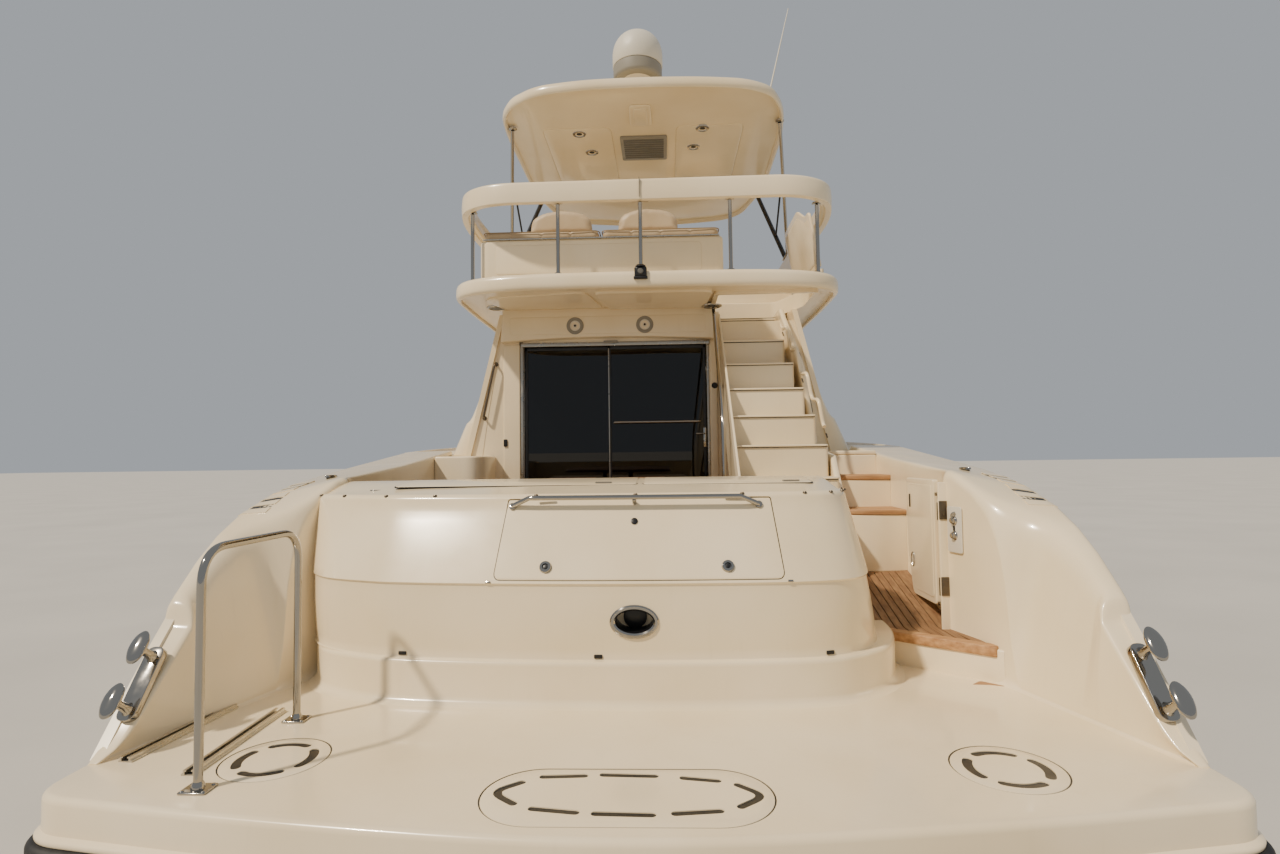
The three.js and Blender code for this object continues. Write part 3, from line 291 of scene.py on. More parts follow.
brushedAluminium = makeSteel("brushedAluminium", "#A9A59C", 0.3, 0.002)
blackAnodised = makePlastic("blackAnodised", "#1B1B1D", 0.38)
greyDark = makePlastic("greySlats", "#5F5D57", 0.45)
vinylDark = makePlastic("vinylPiping", "#8E7756", 0.5)
smokedAcrylic = makeGlass("smokedAcrylic", "#3A332C")
print("materials made")

finishOf = {"hull_gelcoat": hullGelcoat, "deck_gelcoat": gelcoat, "black_rubber": rubber,
    "polished_steel": steel, "dark_metal": blackPlastic, "engine_paint": enginePaint, "bronze": bronze,
    "teak": teak, "saloon_wood": cherry, "beige_fabric": vinyl, "tinted_glass": glass, "white_plastic": whitePlastic}
slotOf = {row["node"]: row["material_slot"] for row in frame["record"]["subparts"]}
for name, node in nodes.items():
    node.data.materials.clear()
    node.data.materials.append(finishOf.get(slotOf.get(name), gelcoat))


# Camera, light and floor

view = {"place": (0.149, -10.713, 1.686), "lens": 19.41, "sensor": 36.0, "turn": 2.003, "tilt": 2.707, "roll": -0.745}


def makeCamera():
    turn, tilt, roll = (radians(view[k]) for k in ("turn", "tilt", "roll"))
    forward = Vector((-sin(turn), cos(turn), 0))
    right = Vector((cos(turn), sin(turn), 0))
    ahead = forward * cos(tilt) + Vector((0, 0, sin(tilt)))
    above = Vector((0, 0, cos(tilt))) - forward * sin(tilt)
    across = right * cos(roll) + above * sin(roll)
    top = above * cos(roll) - right * sin(roll)
    camera = bpy.data.objects.new("camera", bpy.data.cameras.new("camera"))
    bpy.context.scene.collection.objects.link(camera)
    camera.matrix_world = Matrix.Translation(view["place"]) @ Matrix((across, top, -ahead)).transposed().to_4x4()
    camera.data.lens = view["lens"]
    camera.data.sensor_width = view["sensor"]
    camera.data.clip_end = 400
    bpy.context.scene.camera = camera


studio = {"sunFrom": (-0.515, -0.417, 0.749), "sunPower": 4.05, "sunAngle": 3.0, "sky": "#D5DBE2", "skyPower": 0.58}


def makeStudio():
    sun = bpy.data.objects.new("sun", bpy.data.lights.new("sun", "SUN"))
    bpy.context.scene.collection.objects.link(sun)
    sun.rotation_mode = "QUATERNION"
    sun.rotation_quaternion = Vector(studio["sunFrom"]).to_track_quat("Z", "Y")
    sun.data.energy = studio["sunPower"]
    sun.data.angle = radians(studio["sunAngle"])
    sun.data.color = linear("#FFF0DA")[:3]
    world = bpy.data.worlds.new("studio")
    world.use_nodes = True
    world.node_tree.nodes["Background"].inputs[0].default_value = linear(studio["sky"])
    world.node_tree.nodes["Background"].inputs[1].default_value = studio["skyPower"]
    bpy.context.scene.world = world
    bpy.ops.mesh.primitive_plane_add(size=400, location=(0, 0, 0))
    floor = bpy.context.object
    floor.name = "floor"
    paper, tree, shader, place = newMaterial("palePaper", "#C2BFB8", 0.9)
    feed(shader, "Base Color", clouded(tree, place, 2.0, 4, 0.3, 0.7, "#C6C3BC", "#BDBAB3"))
    floor.data.materials.append(paper)


makeCamera()
makeStudio()
print("camera and studio ready")


# Tools for shapes

def newPiece(name, part, material=gelcoat, body="yacht", sharp=38):
    # a piece made of (points, faces), or of a list of them
    points, faces = joinParts(*part) if isinstance(part, list) else part
    mesh = bpy.data.meshes.new(name)
    mesh.from_pydata([tuple(p) for p in points], [], faces)
    work = bmesh.new()
    work.from_mesh(mesh)
    bmesh.ops.remove_doubles(work, verts=work.verts, dist=0.00005)
    bmesh.ops.recalc_face_normals(work, faces=work.faces)
    work.to_mesh(mesh)
    work.free()
    piece = bpy.data.objects.new(name, mesh)
    bpy.context.scene.collection.objects.link(piece)
    mesh.materials.append(material)
    mesh.shade_smooth()
    mesh.set_sharp_from_angle(angle=radians(sharp))
    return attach(piece, body)


def skin(rings, closed=True, caps=(False, False)):
    # points and faces of a surface through rings of equal length
    size = len(rings[0])
    faces = []
    for r in range(len(rings) - 1):
        for i in range(size if closed else size - 1):
            a, b = r * size + i, r * size + (i + 1) % size
            faces.append((a, b, b + size, a + size))
    if caps[0]:
        faces.append(tuple(range(size))[::-1])
    if caps[1]:
        faces.append(tuple((len(rings) - 1) * size + i for i in range(size)))
    return [p for ring in rings for p in ring], faces


def solid(rings):
    # a closed skin with both its ends capped
    return skin(rings, True, (True, True))


def joinParts(*parts):
    points, faces = [], []
    for partPoints, partFaces in parts:
        start = len(points)
        points += partPoints
        faces += [tuple(i + start for i in f) for f in partFaces]
    return points, faces


def shifted(part, x=0.0, y=0.0, z=0.0, turn=None):
    points, faces = part
    turned = [turn @ Vector(p) for p in points] if turn else [Vector(p) for p in points]
    return [p + Vector((x, y, z)) for p in turned], faces


def bends(corners, steps=5, closed=True):
    # an outline or path of corners (a, b, ..., radius), each turned into a bend of steps + 1 points
    out = []
    count = len(corners)
    for i, corner in enumerate(corners):
        here, radius = Vector(corner[:-1]), corner[-1]
        if not closed and i in (0, count - 1):
            out.append(tuple(here))
            continue
        before, after = Vector(corners[i - 1][:-1]), Vector(corners[(i + 1) % count][:-1])
        start = here.lerp(before, min(radius / max((before - here).length, 1e-6), 0.49))
        end = here.lerp(after, min(radius / max((after - here).length, 1e-6), 0.49))
        for k in range(steps + 1):
            t = k / steps
            out.append(tuple(start * (1 - t) ** 2 + here * 2 * t * (1 - t) + end * t * t))
    return out


def through(points, steps=8, closed=False):
    # a smooth curve through points of any number of coordinates
    at = [Vector(p) for p in points]
    out = []
    count = len(at)
    for i in range(count if closed else count - 1):
        p1, p2 = at[i], at[(i + 1) % count]
        p0 = at[i - 1] if closed or i > 0 else p1 * 2 - p2
        p3 = at[(i + 2) % count] if closed or i + 2 < count else p2 * 2 - p1
        for k in range(steps):
            t = k / steps
            out.append(tuple(0.5 * (p1 * 2 + (p2 - p0) * t + (p0 * 2 - p1 * 5 + p2 * 4 - p3) * t * t +
                (p1 * 3 - p0 - p2 * 3 + p3) * t ** 3)))
    if not closed:
        out.append(tuple(at[-1]))
    return out


def rowBefore(places, goal):
    last = len(places) - 2
    return max(0, min(last, next((k - 1 for k, place in enumerate(places) if place >= goal), last)))


def between(first, second, t):
    return [(a[0] + (b[0] - a[0]) * t, a[1] + (b[1] - a[1]) * t) for a, b in zip(first, second)]


def valueAt(rows, y):
    # a row of a table between two others, by a smooth curve; the first column is the place
    i = rowBefore([row[0] for row in rows], y)
    before, after = rows[max(i - 1, 0)], rows[min(i + 2, len(rows) - 1)]
    a, b = rows[i], rows[i + 1]
    span = b[0] - a[0]
    t = (y - a[0]) / span
    out = []
    for k in range(1, len(a)):
        slopeA = (b[k] - before[k]) / (b[0] - before[0])
        slopeB = (after[k] - a[k]) / (after[0] - a[0])
        out.append(a[k] * (1 + 2 * t) * (1 - t) ** 2 + b[k] * t * t * (3 - 2 * t) + span *
            (slopeA * t * (1 - t) ** 2 - slopeB * t * t * (1 - t)))
    return out


def spread(start, end, count):
    return [start + (end - start) * k / (count - 1) for k in range(count)]


def evenly(path, count):
    # count points at even steps along a path
    at = [Vector(p) for p in path]
    lengths = [0.0]
    for a, b in zip(at, at[1:]):
        lengths.append(lengths[-1] + (b - a).length)
    out = []
    for goal in spread(0.0, lengths[-1], count):
        i = rowBefore(lengths, goal)
        step = lengths[i + 1] - lengths[i]
        out.append(tuple(at[i].lerp(at[i + 1], (goal - lengths[i]) / step if step else 0.0)))
    return out


def planNormals(path, closed=False):
    # unit vectors to the right of a path in plan
    out = []
    count = len(path)
    for i in range(count):
        a = path[i - 1] if closed or i > 0 else path[0]
        b = path[(i + 1) % count] if closed or i + 1 < count else path[-1]
        along = Vector((b[0] - a[0], b[1] - a[1])).normalized()
        out.append(Vector((along.y, -along.x)))
    return out


def swept(path, profile, closed=False, caps=True):
    # a profile of (offset to the right, z) carried along a path in plan
    normals = planNormals(path, closed)
    rings = [[(p[0] + n.x * o, p[1] + n.y * o, z) for o, z in profile] for p, n in zip(path, normals)]
    if closed:
        rings.append(rings[0])
    return skin(rings, True, (caps and not closed, caps and not closed))


def pipe(path, radius, sides=12):
    # a round tube along points in space
    at = [Vector(p) for p in path]
    rings = []
    side = None
    for i, here in enumerate(at):
        along = (at[min(i + 1, len(at) - 1)] - at[max(i - 1, 0)]).normalized()
        if side is None:
            side = along.orthogonal().normalized()
        side = (side - along * side.dot(along)).normalized()
        up = along.cross(side)
        rings.append([tuple(here + (side * cos(a) + up * sin(a)) * radius) for a in turns(sides)])
    return solid(rings)


def bentPipe(corners, radius, bend, sides=12, steps=6):
    return pipe(bends([tuple(c) + (bend,) for c in corners], steps, closed=False), radius, sides)


def lathe(profile, sides=32):
    # a turned part about +Z from (radius, z)
    rings = [[(r * cos(a), r * sin(a), z) for r, z in profile] for a in turns(sides)]
    return skin(rings + rings[:1], False)


def insetRings(outline, profile):
    # a ring round the outline for each (inset, z) of the profile
    area = sum(p[0] * q[1] - q[0] * p[1] for p, q in zip(outline, outline[1:] + outline[:1]))
    sign = -1 if area > 0 else 1
    inward = [n * sign for n in planNormals(outline, True)]
    return [[(p[0] + n.x * inset, p[1] + n.y * inset, z) for p, n in zip(outline, inward)] for inset, z in profile]


def circle(a, b, sides=28):
    return [(a * cos(t), b * sin(t)) for t in turns(sides)]


def oblong(a0, a1, b0, b1, bend, steps):
    return bends([(a0, b0, bend), (a1, b0, bend), (a1, b1, bend), (a0, b1, bend)], steps)


def mirrored(line, z, side=1):
    # a level line from one side round to the other, given its half
    return [(side * x, y, z) for x, y in line] + [(-side * x, y, z) for x, y in line[-2::-1]]


def rod(radius, low, high, sides):
    return lathe([(0, low), (radius, low), (radius, high), (0, high)], sides)


def plate(outline, low, high, edge=0.004, steps=3):
    # a flat plate over an outline in (a, b), from c = low to high, with rounded upper and lower edges
    levels = []
    for k in range(steps + 1):
        a = pi / 2 * k / steps
        levels.append((edge * (1 - sin(a)), low + edge * (1 - cos(a))))
    levels += [(inset, low + high - c) for inset, c in reversed(levels)]
    return solid(insetRings(outline, levels))


def boxPart(x0, x1, y0, y1, z0, z1, edge=0.004):
    corner = min(edge * 2, 0.4 * min(x1 - x0, y1 - y0))
    return plate(oblong(x0, x1, y0, y1, corner, 3), z0, z1, min(edge, 0.45 * (z1 - z0)))


def inPlane(part, origin, across=alongX, up=alongZ):
    # a part drawn in (a, b, c) set with a along across, b along up and c out of the plane: by default, facing aft
    u, v = Vector(across).normalized(), Vector(up).normalized()
    turn = Matrix((u, v, u.cross(v))).transposed()
    points, faces = part
    return [tuple(Vector(origin) + turn @ Vector(p)) for p in points], faces


def applied(piece):
    # the piece's modifiers turned into its mesh
    bpy.context.view_layer.update()
    piece.data = bpy.data.meshes.new_from_object(piece.evaluated_get(bpy.context.evaluated_depsgraph_get()))
    piece.modifiers.clear()
    return piece.data


def carve(piece, part, operation="DIFFERENCE"):
    # a boolean that is applied at once; the cutter made from the part is removed
    cutter = newPiece("cutter", part, piece.data.materials[0])
    modifier = piece.modifiers.new("carve", "BOOLEAN")
    modifier.operation = operation
    modifier.solver = "EXACT"
    modifier.object = cutter
    made = applied(piece)
    bpy.data.objects.remove(cutter)
    made.shade_smooth()
    made.set_sharp_from_angle(angle=radians(38))


def stand(piece, *cadNodes, slot=None):
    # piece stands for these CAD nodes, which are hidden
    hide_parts(*cadNodes)
    return piece


# Hull: the column order is the place, the sheer's half width and height, the chine's, and the keel's height

hull = {"rows": [(-7.78, 2.33, 0.43, 2.08, -0.04, -0.52), (-7.68, 2.338, 0.53, 2.083, -0.04, -0.522),
    (-7.55, 2.345, 0.68, 2.087, -0.04, -0.525), (-7.4, 2.351, 0.84, 2.091, -0.039, -0.529),
    (-7.25, 2.357, 0.99, 2.094, -0.038, -0.532), (-7.07, 2.365, 1.15, 2.098, -0.036, -0.537),
    (-6.9, 2.372, 1.26, 2.101, -0.034, -0.541), (-6.7, 2.38, 1.36, 2.104, -0.032, -0.546),
    (-6.4, 2.39, 1.46, 2.109, -0.028, -0.554), (-6.1, 2.397, 1.53, 2.114, -0.024, -0.563),
    (-5.7, 2.405, 1.585, 2.12, -0.02, -0.575), (-4.0, 2.418, 1.74, 2.14, 0.0, -0.63), (-1.5, 2.422, 1.85, 2.15,
    0.05, -0.69), (1.5, 2.39, 1.95, 2.05, 0.17, -0.7), (4.0, 2.19, 2.06, 1.7, 0.38, -0.64),
    (5.8, 1.8, 2.16, 1.18, 0.64, -0.48), (7.1, 1.2, 2.25, 0.61, 0.92, -0.13), (7.85, 0.64, 2.31, 0.25, 1.18, 0.42),
    (8.22, 0.13, 2.345, 0.06, 1.42, 0.98), (8.27, 0.02, 2.35, 0.01, 1.5, 1.15)], "thick": 0.05, "stations": 84}


def sheerAt(y):
    # half width and height of the hull's upper edge
    return valueAt(hull["rows"], y)[:2]


def hullSide(y, grow=0.0):
    # one side of the hull's section from keel to sheer, as (x, z)
    half, top, chine, chineZ, keel = valueAt(hull["rows"], y)
    mid = (chine + (half - chine) * 0.6, chineZ + (top - chineZ) * 0.45)
    low = min(0.02, chine * 0.2)
    side = through([(chine, chineZ), mid, (half, top)], 5)
    line = [(0.0, keel), (chine * 0.5, keel + (chineZ - low - keel) * 0.52), (chine * 0.955, chineZ - low)] + side
    return [(max(x - grow, 0.0), z + (grow if i < 3 else 0.0)) for i, (x, z) in enumerate(line)]


def hullRing(y):
    outer, inner = hullSide(y), hullSide(y, hull["thick"])
    whole = [(-x, y, z) for x, z in outer[:0:-1]] + [(x, y, z) for x, z in outer]
    back = [(x, y, z) for x, z in inner[:0:-1]] + [(-x, y, z) for x, z in inner]
    return whole + back


def makeHull():
    ends = spread(-7.78, 7.6, hull["stations"]) + [7.85, 8.05, 8.16, 8.22, 8.255]
    shell = solid([hullRing(y) for y in ends])
    below = [(x, min(z, 0.4)) for x, z in hullSide(-7.78)]
    aftFace = [(-x, -7.765, z) for x, z in below[:0:-1]] + [(x, -7.765, z) for x, z in below]
    backing = solid([aftFace, [(x, y + 0.05, z) for x, y, z in aftFace]])
    stand(newPiece("hullShell", [shell, backing], hullGelcoat), "hull")
    # a spray rail along each chine and two lifting strakes under the bottom
    strakes = []
    for side in (-1, 1):
        for part, width in ((1.0, 0.05), (0.66, 0.035), (0.36, 0.03)):
            rings = []
            for y in spread(-7.7, 5.6, 50):
                chine, chineZ, keel = valueAt(hull["rows"], y)[2:]
                x = chine * part * (0.955 if part < 1 else 1.0)
                z = chineZ - 0.005 if part == 1 else keel + (chineZ - 0.02 - keel) * part + 0.012
                thin = min(1.0, (5.65 - y) / 1.2)
                rings.append([(side * (x - width), y, z + 0.02), (side * (x + width * 0.3), y, z + 0.018),
                    (side * (x + width * 0.3), y, z - 0.03 * thin), (side * (x - width), y, z - 0.012)])
            strakes.append(solid(rings))
    newPiece("sprayRails", strakes, hullGelcoat)


def makeRubRails():
    # black rubber with rounded edges along both sides, thinning out at its ends
    for side, name in bothSides:
        rings = []
        for y in [-7.38, -7.36] + spread(-7.3, 7.6, 90) + [7.66, 7.68]:
            half, top = sheerAt(y)
            x = half - 0.01
            thin = max(0.15, min(1.0, (y + 7.39) / 0.05, (7.69 - y) / 0.05))
            section = bends([(x - 0.02, top - 0.188, 0.002), (x + 0.03 * thin, top - 0.188, 0.014),
                (x + 0.03 * thin, top - 0.134, 0.014), (x - 0.02, top - 0.134, 0.002)], 4)
            rings.append([(side * u, y, z) for u, z in section])
        stand(newPiece(name + "RubRail", solid(rings), rubber), "rub_rail_" + name)


makeHull()
makeRubRails()


# Wings and cockpit coamings: the outer top, the top's inner edge (across, height, bend), the face and its step

wing = {"top": [(0.6, 0.425), (0.72, 0.53), (0.85, 0.68), (1.0, 0.826), (1.075, 0.902), (1.105, 1.0), (1.15, 1.045),
    (1.33, 1.195), (1.5, 1.305), (1.7, 1.395), (2.0, 1.48), (2.3, 1.545), (2.7, 1.6), (3.2, 1.655),
    (4.45, 1.79)], "edge": [(0.6, 2.28, 0.424, 0.01), (0.66, 2.235, 0.465, 0.02), (0.72, 2.222, 0.52, 0.025),
    (0.85, 2.212, 0.665, 0.025), (1.0, 2.208, 0.815, 0.025), (1.075, 2.206, 0.89, 0.025),
    (1.105, 2.225, 0.985, 0.07), (1.15, 2.25, 1.03, 0.11), (1.33, 2.245, 1.175, 0.13), (1.5, 2.215, 1.285, 0.13),
    (1.6, 2.15, 1.34, 0.12), (1.7, 2.05, 1.41, 0.08), (1.85, 1.985, 1.495, 0.05), (2.0, 1.945, 1.575, 0.035),
    (2.1, 1.93, 1.6, 0.035), (2.3, 1.945, 1.605, 0.035), (3.2, 1.955, 1.67, 0.035), (4.45, 1.955, 1.8, 0.035)],
    "step": [(0.6, 0.44), (1.54, 0.45), (1.575, 0.6), (1.59, 0.85), (1.618, 1.07), (1.665, 1.229), (1.734, 1.363),
    (1.85, 1.47), (2.0, 1.55), (2.2, 1.565), (2.7, 1.575), (4.45, 1.765)], "skirt": 0.16}


def shareOf(v, low, high):
    return max(0.0, min(1.0, (v - low) / (high - low)))


def lineAt(rows, y):
    # straight lines between the rows of a table
    i = rowBefore([row[0] for row in rows], y)
    a, b = rows[i], rows[i + 1]
    t = shareOf(y, a[0], b[0])
    return [a[k] + (b[k] - a[k]) * t for k in range(1, len(a))]


def wingFace(d):
    if d < 2.1:
        return 2.235 - 0.265 * (d - 0.794)
    return min(1.888 + (d - 2.1) * 0.9, 1.945)


def hullAt(y, z):
    # the hull's half width at a height
    line = hullSide(y)
    for p, q in zip(line, line[1:]):
        if p[1] <= z <= q[1]:
            return p[0] + (q[0] - p[0]) * (z - p[1]) / (q[1] - p[1])
    return line[-1][0]


def wingRing(d, side):
    half = sheerAt(aft(d))[0] + 0.004
    top = lineAt(wing["top"], d)[0]
    w, topIn, bend = lineAt(wing["edge"], d)
    step = min(lineAt(wing["step"], d)[0], topIn - 0.02)
    face = wingFace(d)
    foot = 0.42 if d < 2.2 else 0.6 if d < 2.9 else 0.8
    bottom = min(foot - 0.12, top - wing["skirt"])
    under = max(top - wing["skirt"], 0.3)
    corners = [(hullAt(aft(d), under) - 0.02, under, 0.004), (half, under, 0.012), (half, top, 0.045),
        (w, topIn, bend), (face, step, 0.03), (face, foot, 0.05), (face - 0.1, foot - 0.004, 0.004),
        (face - 0.1, bottom, 0.004), (hullAt(aft(d), bottom) - 0.05, bottom, 0.004)]
    return [(side * x, aft(d), z) for x, z in bends(corners, 6)]


def wingTop(x, d):
    # the height of the wing's upper side, x being on the starboard side
    line = wingRing(d, 1)[13:29]
    for p, q in zip(line, line[1:]):
        if q[0] <= x <= p[0] and p[0] > q[0]:
            return p[2] + (q[2] - p[2]) * (p[0] - x) / (p[0] - q[0])
    return line[-1][2]


def makeWings():
    places = spread(0.6, 1.06, 18) + spread(1.07, 1.16, 12) + spread(1.18, 2.12, 34) + spread(2.16, 4.44, 24)
    for side, name in bothSides:
        shape = solid([wingRing(d, side) for d in places])
        stand(newPiece(name + "Wing", shape, sharp=50), "deck")


makeWings()
print("hull and wings made")


# Swim platform: plan of the plate, and the wells that its lids close

platform = {"plan": [(-2.3, 0.72, 0.05), (-2.345, 0.6, 0.02), (-2.335, 0.33, 0.16), (-1.4, 0.165, 0.6),
    (0.0, 0.0, 1.2), (1.4, 0.165, 0.6), (2.335, 0.33, 0.16), (2.345, 0.6, 0.02), (2.3, 0.72, 0.05),
    (2.06, 1.75, 0.1), (1.95, 2.15, 0.02), (-1.95, 2.15, 0.02), (-2.06, 1.75, 0.1)], "edge": 0.028, "under": 0.16}
lidTable = {"round_lid_port": (-1.543, 0.666, 0.222, 0.222), "round_lid_starboard": (1.518, 0.59, 0.222,
    0.222), "oval_lid": (-0.012, 0.35, 0.56, 0.228)}


def ovalOutline(x, d, a, b, steps=24):
    # a circle, or a stadium with half length a across and half width b
    if a == b:
        return [(x + u, aft(d) + v) for u, v in circle(b, b, steps * 2)]
    out = []
    for centre, start in ((x + a - b, -pi / 2), (x - a + b, pi / 2)):
        for k in range(steps + 1):
            turn = start + pi * k / steps
            out.append((centre + b * cos(turn), aft(d) + b * sin(turn)))
    return out


lidSlots = {"round": {"radius": 0.15, "half": 30, "wide": 0.04, "firstPort": 4.5, "firstStarboard": -2.0},
    "oval": [[(-0.433, 0.456), (-0.534, 0.375), (-0.431, 0.288)], [(-0.355, 0.503), (-0.192, 0.514)],
    [(-0.115, 0.522), (0.091, 0.513)], [(0.206, 0.497), (0.338, 0.474)], [(0.415, 0.441), (0.512, 0.355),
    (0.41, 0.272)], [(-0.352, 0.25), (-0.192, 0.225)], [(-0.118, 0.217), (0.085, 0.21)],
    [(0.17, 0.22), (0.33, 0.24)]], "ovalWide": 0.034}


def slotAlong(points, wide):
    # the outline of a slot with round ends along a path
    path = [Vector(p) for p in bends(inPlan([(x, d, 0.07) for x, d in points]), 6, closed=False)]
    normals = planNormals(path)
    out = [p + n * wide / 2 for p, n in zip(path, normals)]
    for centre, start, turnBack in ((path[-1], normals[-1], 1), (path[0], -normals[0], -1)):
        around = [Matrix.Rotation(radians(a), 2) @ start for a in range(30, 180, 30)]
        out += [centre + n * wide / 2 for n in around]
        if turnBack > 0:
            out += [p - n * wide / 2 for p, n in reversed(list(zip(path, normals)))]
    return [tuple(p) for p in out]


def slotsOf(name):
    x, d, a, b = lidTable[name]
    if a != b:
        return [slotAlong(points, lidSlots["ovalWide"]) for points in lidSlots["oval"]]
    shape = lidSlots["round"]
    first = shape["firstPort"] if x < 0 else shape["firstStarboard"]
    r = shape["radius"]
    out = []
    for quarter in (0, 90, 180, 270):
        around = [radians(first + quarter + k) for k in spread(-shape["half"], shape["half"], 9)]
        out.append(slotAlong([(x + r * cos(t), d + r * sin(t)) for t in around], shape["wide"]))
    return out


def makePlatform():
    outline = bends(inPlan(platform["plan"]), 8)
    slab = newPiece("platformMoulding", plate(outline, platform["under"], platformTop, platform["edge"], 6))
    for x, d, a, b in lidTable.values():
        carve(slab, plate(ovalOutline(x, d, a, b), 0.39, 0.5, 0.002, 1))
        carve(slab, plate(ovalOutline(x, d, a - 0.03, b - 0.03), 0.22, 0.5, 0.002, 1))
    stand(slab, "swim_platform")
    for name, (x, d, a, b) in lidTable.items():
        lid = newPiece(name + "Panel", plate(ovalOutline(x, d, a - 0.006, b - 0.006), 0.397, 0.42, 0.003, 2),
            gelcoat, name)
        for outline in slotsOf(name):
            carve(lid, plate(outline, 0.35, 0.45, 0.001, 1))
        stand(lid, name)
        # a black sheet under each lid and a black fill in each slot: painted shade standing for the dark well under
        # the slotted lid
        shadeSheet = plate(ovalOutline(x, d, a - 0.036, b - 0.036), 0.36, 0.3965, 0.002, 1)
        newPiece(name + "ShadeSheet", shadeSheet, blackPlastic, name)
        slotShades = [plate(outline, 0.395, 0.4165, 0.001, 1) for outline in slotsOf(name)]
        newPiece(name + "SlotShades", slotShades, blackPlastic, name)
    gasket = []
    for x, d, a, b in lidTable.values():
        outer, inner = ovalOutline(x, d, a - 0.0005, b - 0.0005), ovalOutline(x, d, a - 0.0045, b - 0.0045)
        rings = [[(p[0], p[1], z) for p in line] for line, z in ((outer, 0.391), (outer, 0.4185), (inner, 0.4185),
            (inner, 0.391))]
        gasket.append(skin(rings + rings[:1]))
    newPiece("lidGaskets", gasket, blackPlastic)
    path = bends(inPlan(((-2.345, 0.6, 0), (-2.34, 0.325, 0.17), (-1.4, 0.16, 0.6), (0.0, -0.002, 1.2),
        (1.4, 0.16, 0.6), (2.34, 0.325, 0.17), (2.345, 0.6, 0))), 12, closed=False)
    strip = bends([(-0.012, 0.172, 0.003), (0.03, 0.176, 0.008), (0.043, 0.192, 0.012), (0.043, 0.23, 0.012),
        (0.028, 0.246, 0.008), (-0.012, 0.249, 0.003)], 3)
    stand(newPiece("rubberStrake", swept(path, strip), rubber), "platform_fender")
    mould = bends([(-0.02, 0.246, 0.003), (0.016, 0.246, 0.008), (0.018, 0.268, 0.008), (-0.02, 0.29, 0.003)], 3)
    newPiece("platformLip", swept(path, mould))


makePlatform()
print("platform made")


# Transom: level curves as (across, forward) at common stations, from the ledge's edge up to the crown

transom = {"ledge": [(-1.96, 1.86), (-1.9, 1.72), (-1.76, 1.55), (-1.5, 1.42), (-1.28, 1.36), (-0.78, 1.305),
    (-0.3, 1.28), (0.2, 1.275), (0.72, 1.3), (1.02, 1.345), (1.2, 1.44), (1.34, 1.56), (1.43, 1.7), (1.49, 1.87),
    (1.52, 2.03), (1.53, 2.18)], "foot": [(-1.962, 1.875), (-1.915, 1.745), (-1.77, 1.583), (-1.505, 1.455),
    (-1.285, 1.395), (-0.782, 1.34), (-0.3, 1.315), (0.2, 1.31), (0.715, 1.335), (1.0, 1.378), (1.16, 1.46),
    (1.275, 1.58), (1.345, 1.73), (1.378, 1.9), (1.39, 2.05), (1.395, 2.18)], "crease": [(-1.965, 1.87),
    (-1.93, 1.74), (-1.76, 1.56), (-1.5, 1.445), (-1.29, 1.39), (-0.78, 1.33), (-0.3, 1.3), (0.2, 1.295),
    (0.72, 1.31), (1.0, 1.355), (1.15, 1.43), (1.24, 1.55), (1.29, 1.72), (1.305, 1.9), (1.312, 2.05),
    (1.315, 2.18)], "crown": [(-1.965, 1.92), (-1.94, 1.83), (-1.76, 1.74), (-1.5, 1.655), (-1.29, 1.61),
    (-0.78, 1.55), (-0.3, 1.52), (0.2, 1.515), (0.7, 1.525), (0.95, 1.55), (1.08, 1.6), (1.16, 1.69), (1.205, 1.8),
    (1.225, 1.93), (1.235, 2.06), (1.24, 2.18)], "frontD": 1.575, "backD": 2.188, "crownZ": 1.502,
    "topZ": 1.568, "proud": 0.009}
levels = {key: through(transom[key], 7) for key in ("ledge", "foot", "crease", "crown")}


def transomColumn(i):
    ledge, foot, crease, crown = (Vector(levels[key][i]) for key in ("ledge", "foot", "crease", "crown"))
    count = len(levels["ledge"])
    a, b = Vector(levels["ledge"][max(i - 1, 0)]), Vector(levels["ledge"][min(i + 1, count - 1)])
    out = Vector(((b - a).y, -(b - a).x)).normalized()
    line = [(ledge, 0.06, 0.4175), (ledge, 0.045, 0.4215), (ledge, 0.026, 0.427), (ledge, 0.009, 0.44),
        (ledge, 0.0, 0.462), (ledge, 0.0, 0.622), (ledge, -0.003, 0.636), (ledge, -0.01, 0.644),
        (ledge, -0.018, 0.6465), (foot, 0.01, 0.6475), (foot, 0.003, 0.65), (foot, 0.0, 0.656)]
    for k in range(1, 8):
        t = k / 8
        line.append((foot.lerp(crease, t), 0.006 * sin(pi * t), 0.656 + (1.03 - 0.656) * t))
    proud = transom["proud"]
    line += [(crease, 0.0, 1.03), (crease, 0.001, 1.036), (crease, proud - 0.002, 1.041), (crease, proud, 1.046)]
    for k in range(1, 9):
        t = k / 9
        line.append((crease.lerp(crown, t), proud - 0.004 * t + 0.003 * sin(pi * t), 1.046 + 0.404 * t))
    line += [(crown, 0.004 - 0.045 * (1 - cos(a)), 1.462 + 0.04 * sin(a)) for a in (radians(k) for k in
        (0, 18, 36, 54, 72, 90))]
    back = Vector((crown.x * 0.97 if crown.x < 1.0 else crown.x - 0.1, transom["backD"]))
    points = [((at + out * o).x, aft((at + out * o).y), z) for at, o, z in line]
    inner = crown - out * 0.045
    for k in range(1, 6):
        t = k / 5
        spot = inner.lerp(back, t)
        points.append((spot.x, aft(spot.y), transom["crownZ"] + (transom["topZ"] - transom["crownZ"]) *
            sin(t * pi / 2)))
    points.append((back.x, aft(back.y), 0.42))
    points.append(((ledge - out * 0.2).x, aft((ledge - out * 0.2).y), 0.417))
    return points


